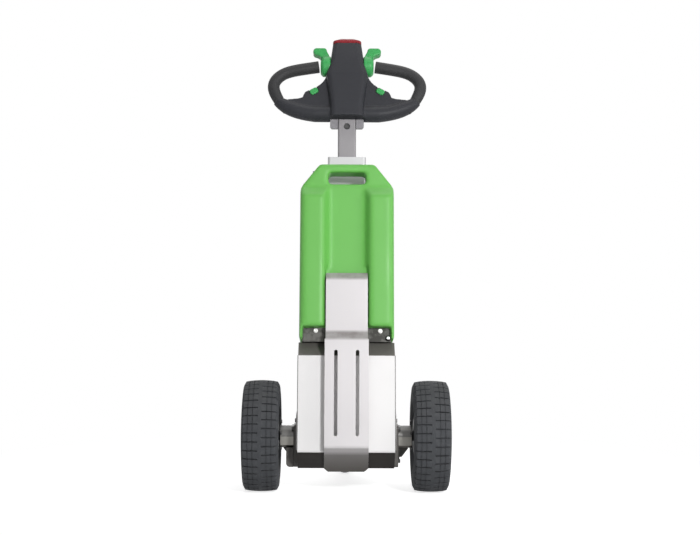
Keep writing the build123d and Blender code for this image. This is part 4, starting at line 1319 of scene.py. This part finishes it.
MOULDINGS = (
    Moulding("head_body", "head_casing", HEAD_PLASTIC, lift=0.0),
    Moulding("battery_housing", "battery_case", GREEN_CASE, voxel=2.6, blend=26, swell=0.9),
    *[Moulding(f"throttle_{side}", f"lever_{side}", GREEN_CONTROL, voxel=0.9, blend=40,
               swell=0.8, lift=3.0) for side, _ in SIDES],
    *[Moulding(f"horn_button_{side}", f"horn_{side}", GREEN_CONTROL, voxel=0.6, blend=6,
               lift=-3.0) for side, _ in SIDES],
    Moulding("stop_button", "red_stop", RED_BUTTON, voxel=0.8, blend=4, lift=0.0),
)


@dataclass
class BatteryLock:
    """The key lock that holds the battery in its tray, in millimetres.

    Attributes:
        collar: Diameter of the dark collar.
        barrel: Diameter of the chrome barrel.
        slot: Width, length and depth of the key slot's cutter, and the height of its middle.
        seat: Depth of the lip that the collar sits on.
        middle: Depth of the middle of the lock's node.
    """

    collar: float = 13.0
    barrel: float = 9.2
    slot: tuple[float, float, float, float] = (1.0, 5.0, 4.0, 10.8)
    seat: float = LIP_FACE
    middle: float = -71.0

    def build(self, datum: Datum) -> None:
        """Model the collar and the barrel with its key slot.

        Args:
            datum: The frame's points.
        """
        low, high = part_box("battery_lock")
        height = ((low.z + high.z) / 2 - datum.axle.z) / MM
        rise = (height + self.middle * datum.up.y) / datum.up.z
        place = datum.at((low.x + high.x) / 2 / MM, self.seat, rise)
        inner, outer = self.barrel / 2, self.collar / 2
        collar = outline_spin("lock_collar", [
            (inner + 0.2, 0.0), (outer, 0.0), (outer, 4.4), (outer - 1.4, 6.0),
            (inner + 1.0, 6.0), (inner + 0.2, 5.2)], place, -datum.back, 40)
        soften(collar, 0.4, 2, 40)
        dress(collar, BLACK_KNOB, "chassis", "clamp_knob", "battery_lock")
        barrel = outline_spin("lock_barrel", [
            (0.0, 0.0), (inner, 0.0), (inner, 9.4), (inner - 1.2, 10.6), (0.0, 10.9)],
            Vector(), Vector((0, 0, 1)), 40)
        *size, tall = (value * MM for value in self.slot)
        slot = cube("key slot", size, (0, 0, tall))
        cutter = barrel.modifiers.new("key slot", "BOOLEAN")
        cutter.operation = "DIFFERENCE"
        cutter.object = slot
        cutter.solver = "EXACT"
        apply_all(barrel)
        bpy.data.objects.remove(slot)
        barrel.data.transform(Matrix.Translation(place) @ aim(-datum.back))
        soften(barrel, 0.25, 2, 40)
        dress(barrel, CHROME, "chassis", "battery_lock")


@dataclass
class Fasteners:
    """The screws and bolts that hold the machine together, in millimetres.

    Attributes:
        lip: Across and rise of the bolts on the tray's lip.
        side: Depth and rise of the screws on each side plate.
        plate: Half-width over the side plates.
        rear: Across and rise of the screws on the rear cover.
        rear_face: Depth of the rear cover's outer face.
        flange: Places of the bolts in an axle housing's flange, back and up from the axle; the
            brake block takes the place of the last one on the left.
        flange_face: Half-width over the flanges.
        stop_bolt: Place of the bolt over each housing, back and up from the axle.
        fork_face: From the castor wheel's middle to the fork's outer face.
    """

    lip: tuple[Point2, ...] = ((-72.5, 241.0), (79.0, 240.5))
    side: tuple[Point2, ...] = ((-70.0, 40.0), (-70.0, 165.0), (70.0, 40.0), (70.0, 165.0))
    plate: float = 112.5
    rear: tuple[Point2, ...] = ((-98.0, 30.0), (98.0, 30.0), (-98.0, 195.0), (98.0, 195.0))
    rear_face: float = 88.5
    flange: tuple[Point2, ...] = ((-24.0, 19.0), (24.0, 19.0), (24.0, -56.0), (-24.0, -56.0))
    flange_face: float = 122.5
    stop_bolt: Point2 = (-12.0, 37.0)
    fork_face: float = 26.0

    def build(self, datum: Datum) -> None:
        """Fit every set of screws.

        Args:
            datum: The frame's points.
        """
        screws("lip_bolts", [datum.at(across, LIP_FACE, rise) for across, rise in self.lip],
               -datum.back, "chassis", "battery_lock",
               CapScrew(head=7.6, height=4.2, washer=10.5), ZINC)
        for side, sign in SIDES:
            self.side_set(datum, side, sign)
        screws("rear_screws", [datum.at(across, self.rear_face, rise) for across, rise in self.rear],
               datum.back, "chassis", "rear_cover", CapScrew(head=9, height=3, washer=0))
        screws("fork_nut", [datum.castor_wheel + Vector((self.fork_face * MM, 0, 0))],
               Vector((1, 0, 0)), "castor_fork", "castor_fork",
               CapScrew(head=8, height=2, washer=0), ZINC)

    def side_set(self, datum: Datum, side: str, sign: int) -> None:
        """Fit the screws and bolts of one side.

        Args:
            datum: The frame's points.
            side: Which side of the machine it is.
            sign: +1 on the right, -1 on the left.
        """
        outward = Vector((sign, 0, 0))

        def beside(face: float, back: float, up: float) -> Vector:
            """Return a place on a face beside the axle."""
            return datum.axle + Vector((sign * face * MM, back * MM, up * MM))

        screws(f"side_screws_{side}",
               [datum.at(sign * self.plate, depth, rise) for depth, rise in self.side],
               outward, "chassis", f"side_plate_{side}", CapScrew(head=9, height=0.9, washer=0))
        flange = self.flange if sign > 0 else self.flange[:-1]
        screws(f"housing_bolts_{side}", [beside(self.flange_face, *place) for place in flange],
               outward, "chassis", f"axle_housing_{side}",
               CapScrew(head=9, height=5, washer=0), DARK_BOLT)
        screws(f"axle_stop_bolt_{side}", [beside(self.plate, *self.stop_bolt)], outward,
               "chassis", f"axle_housing_{side}",
               CapScrew(head=10, height=6.5, washer=13), DARK_BOLT)


@dataclass
class Trim:
    """The pads behind the axle housings, the dark strips of painted shade in the gaps along the
    panels' edges, and the tiller's plug.

    Attributes:
        pad: Thickness, half length and lowest and highest rise of a pad, in millimetres.
        pad_corner: Size of a pad's broken corners.
        gap_shade: Inner and outer side of the dark strip of painted shade along the edge of a front
            panel.
        gap_shade_depth: Its front and back.
        gap_shade_rise: Its foot and top.
        plug: Radius of the plug and its depth and rise on the column.
    """

    pad: tuple[float, float, float, float] = (4.6, 35.0, -32.0, 55.0)
    pad_corner: float = 7.0
    gap_shade: Point2 = (112.3, 113.9)
    gap_shade_depth: Point2 = (-84.0, -79.0)
    gap_shade_rise: Point2 = (-40.0, 181.0)
    plug: Point = (7.8, 48.5, 768.0)

    def build(self, datum: Datum) -> None:
        """Model the pads, the strips of painted shade and the plug.

        Args:
            datum: The frame's points.
        """
        for side, sign in SIDES:
            self.housing_pad(datum, side, sign)
            # A dark strip along each front panel's edge: painted shade in the gap.
            across = sorted(sign * edge for edge in self.gap_shade)
            gap_shade = slab(f"edge_gap_shade_{side}", datum, across, self.gap_shade_depth, self.gap_shade_rise)
            soften(gap_shade, 0.3, 2, 50)
            dress(gap_shade, PAN_PAINTED_SHADE, "chassis", f"side_plate_{side}")
        radius, depth, rise = self.plug
        plug = outline_spin("tiller_plug", [
            (0.0, 0.0), (radius * 0.62, 0.0), (radius * 0.70, 0.9), (radius * 0.94, 1.1),
            (radius, 0.6), (radius, -3.0), (0.0, -3.0)],
            datum.at(0, depth, rise), -datum.back, 40)
        soften(plug, 0.25, 2, 40)
        dress(plug, DARK_BOLT, "tiller", "tiller_tube")

    def housing_pad(self, datum: Datum, side: str, sign: int) -> None:
        """Model the pad between a side plate and its axle housing.

        Args:
            datum: The frame's points.
            side: Which side of the machine it is on.
            sign: +1 on the right, -1 on the left.
        """
        thick, half, low, high = self.pad
        plate_low, plate_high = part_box(f"side_plate_{side}")
        face = plate_high.x if sign > 0 else plate_low.x
        pad = cube(f"housing_pad_{side}", (thick * MM, 2 * half * MM, (high - low) * MM),
                   (face + sign * thick / 2 * MM, datum.axle.y,
                    datum.axle.z + (low + high) / 2 * MM))
        with editing(pad, "EDGE"):
            mesh = bmesh.from_edit_mesh(pad.data)
            for edge in mesh.edges:
                along = edge.verts[0].co - edge.verts[1].co
                edge.select_set(abs(along.x) > 0.5 * thick * MM)
            bmesh.update_edit_mesh(pad.data)
            bpy.ops.mesh.bevel(offset=self.pad_corner * MM, segments=4)
        soften(pad, 0.5, 2, 50)
        dress(pad, STAINLESS, "chassis", f"side_plate_{side}")


# ---- the studio
@dataclass(frozen=True)
class Lamp:
    """A soft square lamp.

    Attributes:
        name: Name of the lamp.
        place: Where it hangs, in metres.
        target: What it points at.
        size: Width of its face in metres.
        power: Power in watts.
    """

    name: str
    place: Point
    target: Point
    size: float
    power: float

    def hang(self) -> None:
        """Hang the lamp in the studio."""
        data = bpy.data.lights.new(self.name, "AREA")
        data.energy = self.power
        data.size = self.size
        lamp = bpy.data.objects.new(self.name, data)
        bpy.context.scene.collection.objects.link(lamp)
        lamp.location = self.place
        way = Vector(self.target) - Vector(self.place)
        lamp.rotation_euler = way.to_track_quat("-Z", "Y").to_euler()


@dataclass
class Studio:
    """The floor, the lights, the world and the camera.

    Attributes:
        distance: From the camera to the axle, in metres.
        height: Height of the camera.
        azimuth: Degrees that the camera stands to the left of straight ahead.
        lens: Focal length in millimetres.
        sensor: Width of the sensor in millimetres.
        shift: Sideways shift that puts the object where it belongs in the frame.
        roll: Degrees that the camera is turned about its own axis.
        floor_size: Width of the floor, in metres.
        floor_grey: Level of the floor's own colour.
        floor_near: How far from the middle the floor stays itself, in metres.
        floor_far: How far from the middle it has faded to white.
        floor_glow: Light that the floor gives of its own.
        room_glow: Light that comes from all round.
        lamps: The lamps.
    """

    distance: float = 3.3
    height: float = 0.527
    azimuth: float = 0.5
    lens: float = 71.9
    sensor: float = 36.0
    shift: float = 0.0045
    roll: float = -0.3
    floor_size: float = 24.0
    floor_grey: float = 0.92
    floor_near: float = 0.35
    floor_far: float = 1.1
    floor_glow: float = 0.76
    room_glow: float = 0.14
    lamps: tuple[Lamp, ...] = (
        Lamp("key", (1.2, -3.4, 1.5), (0, -0.1, 0.45), size=0.4, power=75),
        Lamp("front", (-0.7, -4.4, 1.3), (0, 0, 0.5), size=2.6, power=3),
        Lamp("top", (0.2, 0.2, 3.0), (0, 0, 0.4), size=2.0, power=16),
        Lamp("back", (-0.6, 3.0, 2.0), (0, 0, 0.5), size=2.0, power=14),
        Lamp("side", (2.8, -1.5, 1.3), (0, 0, 0.8), size=0.6, power=16),
    )

    def camera(self, datum: Datum) -> None:
        """Place the camera level in front of the coupling side."""
        data = bpy.data.cameras.new("camera")
        data.lens = self.lens
        data.sensor_width = self.sensor
        data.shift_x = self.shift
        camera = bpy.data.objects.new("camera", data)
        bpy.context.scene.collection.objects.link(camera)
        turn = math.radians(self.azimuth)
        camera.location = (-self.distance * math.sin(turn),
                           datum.axle.y - self.distance * math.cos(turn), self.height)
        camera.rotation_euler = (math.radians(90), math.radians(self.roll), -turn)
        bpy.context.scene.camera = camera

    @staticmethod
    def straight_rays(net: Net) -> Socket:
        """Return a socket that is 1 where the white is seen, mirrored or looked through."""
        rays = net.add("LightPath").outputs
        seen = net.math("MAXIMUM", rays["Is Camera Ray"], rays["Is Glossy Ray"])
        return net.math("MAXIMUM", seen, rays["Is Transmission Ray"])

    def backdrop(self) -> None:
        """Lay a pale floor that holds the shadow and fades into the white around it."""
        deselect()
        bpy.ops.mesh.primitive_plane_add(size=self.floor_size, location=(0, 0, 0))
        floor = bpy.context.object
        floor.name = "floor"
        material = bpy.data.materials.new("pale_floor")
        material.use_nodes = True
        net, nodes = Net(material.node_tree), material.node_tree.nodes
        shader = nodes["Principled BSDF"]
        net.feed(shader, {"Base Color": (*[self.floor_grey] * 3, 1.0), "Roughness": 0.9,
                          "Specular IOR Level": 0.1})
        straight = self.straight_rays(net)
        place = net.add("TexCoord").outputs["Object"]
        length = net.add("VectorMath", {0: place}, operation="LENGTH").outputs["Value"]
        fade = net.add("MapRange", {"Value": length, "From Min": self.floor_near,
                                    "From Max": self.floor_far}, interpolation_type="SMOOTHSTEP")
        glow = net.add("Emission", {"Strength": net.math("MULTIPLY", straight, self.floor_glow)})
        lit = net.add("AddShader", {0: shader.outputs["BSDF"], 1: glow.outputs["Emission"]})
        white = net.add("Emission", {"Color": (1.0, 1.0, 1.0, 1.0)})
        mix = net.add("MixShader", {
            "Fac": net.math("MULTIPLY", fade.outputs["Result"], straight),
            1: lit.outputs["Shader"], 2: white.outputs["Emission"]})
        net.feed(nodes["Material Output"], {"Surface": mix.outputs["Shader"]})
        floor.data.materials.append(material)

    def world(self) -> None:
        """Light the room softly and show white behind the object."""
        world = bpy.data.worlds.new("room")
        bpy.context.scene.world = world
        world.use_nodes = True
        net, nodes = Net(world.node_tree), world.node_tree.nodes
        white = {"Color": (1.0, 1.0, 1.0, 1.0)}
        net.feed(nodes["Background"], {**white, "Strength": self.room_glow})
        seen = net.add("Background", {**white, "Strength": 1.0})
        mix = net.add("MixShader", {"Fac": self.straight_rays(net),
                                    1: nodes["Background"].outputs["Background"],
                                    2: seen.outputs["Background"]})
        net.feed(nodes["World Output"], {"Surface": mix.outputs["Shader"]})

    def build(self, datum: Datum) -> None:
        """Set up the whole studio.

        Args:
            datum: The frame's points.
        """
        self.camera(datum)
        self.backdrop()
        self.world()
        for lamp in self.lamps:
            lamp.hang()
        bpy.context.scene.view_settings.view_transform = "Standard"


def main() -> None:
    """Build the looks in order."""
    logging.basicConfig(level=logging.INFO, format="%(name)s %(message)s")
    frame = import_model()
    datum = Datum.read(frame)
    deselect()
    for build_group in (build_drift, build_wear, build_grain, build_dust_and_shade, build_downward_shade):
        build_group()
    Studio().build(datum)
    Machine().build(datum)
    for moulding in MOULDINGS:
        moulding.build(datum)
    for side, sign in SIDES:
        HandGrip(side, sign).build(datum)
    BatteryLock().build(datum)
    Fasteners().build(datum)
    Trim().build(datum)
    for side, sign in SIDES:
        DriveWheel(side, sign).build(datum)
    deselect()


if __name__ == "__main__":
    main()
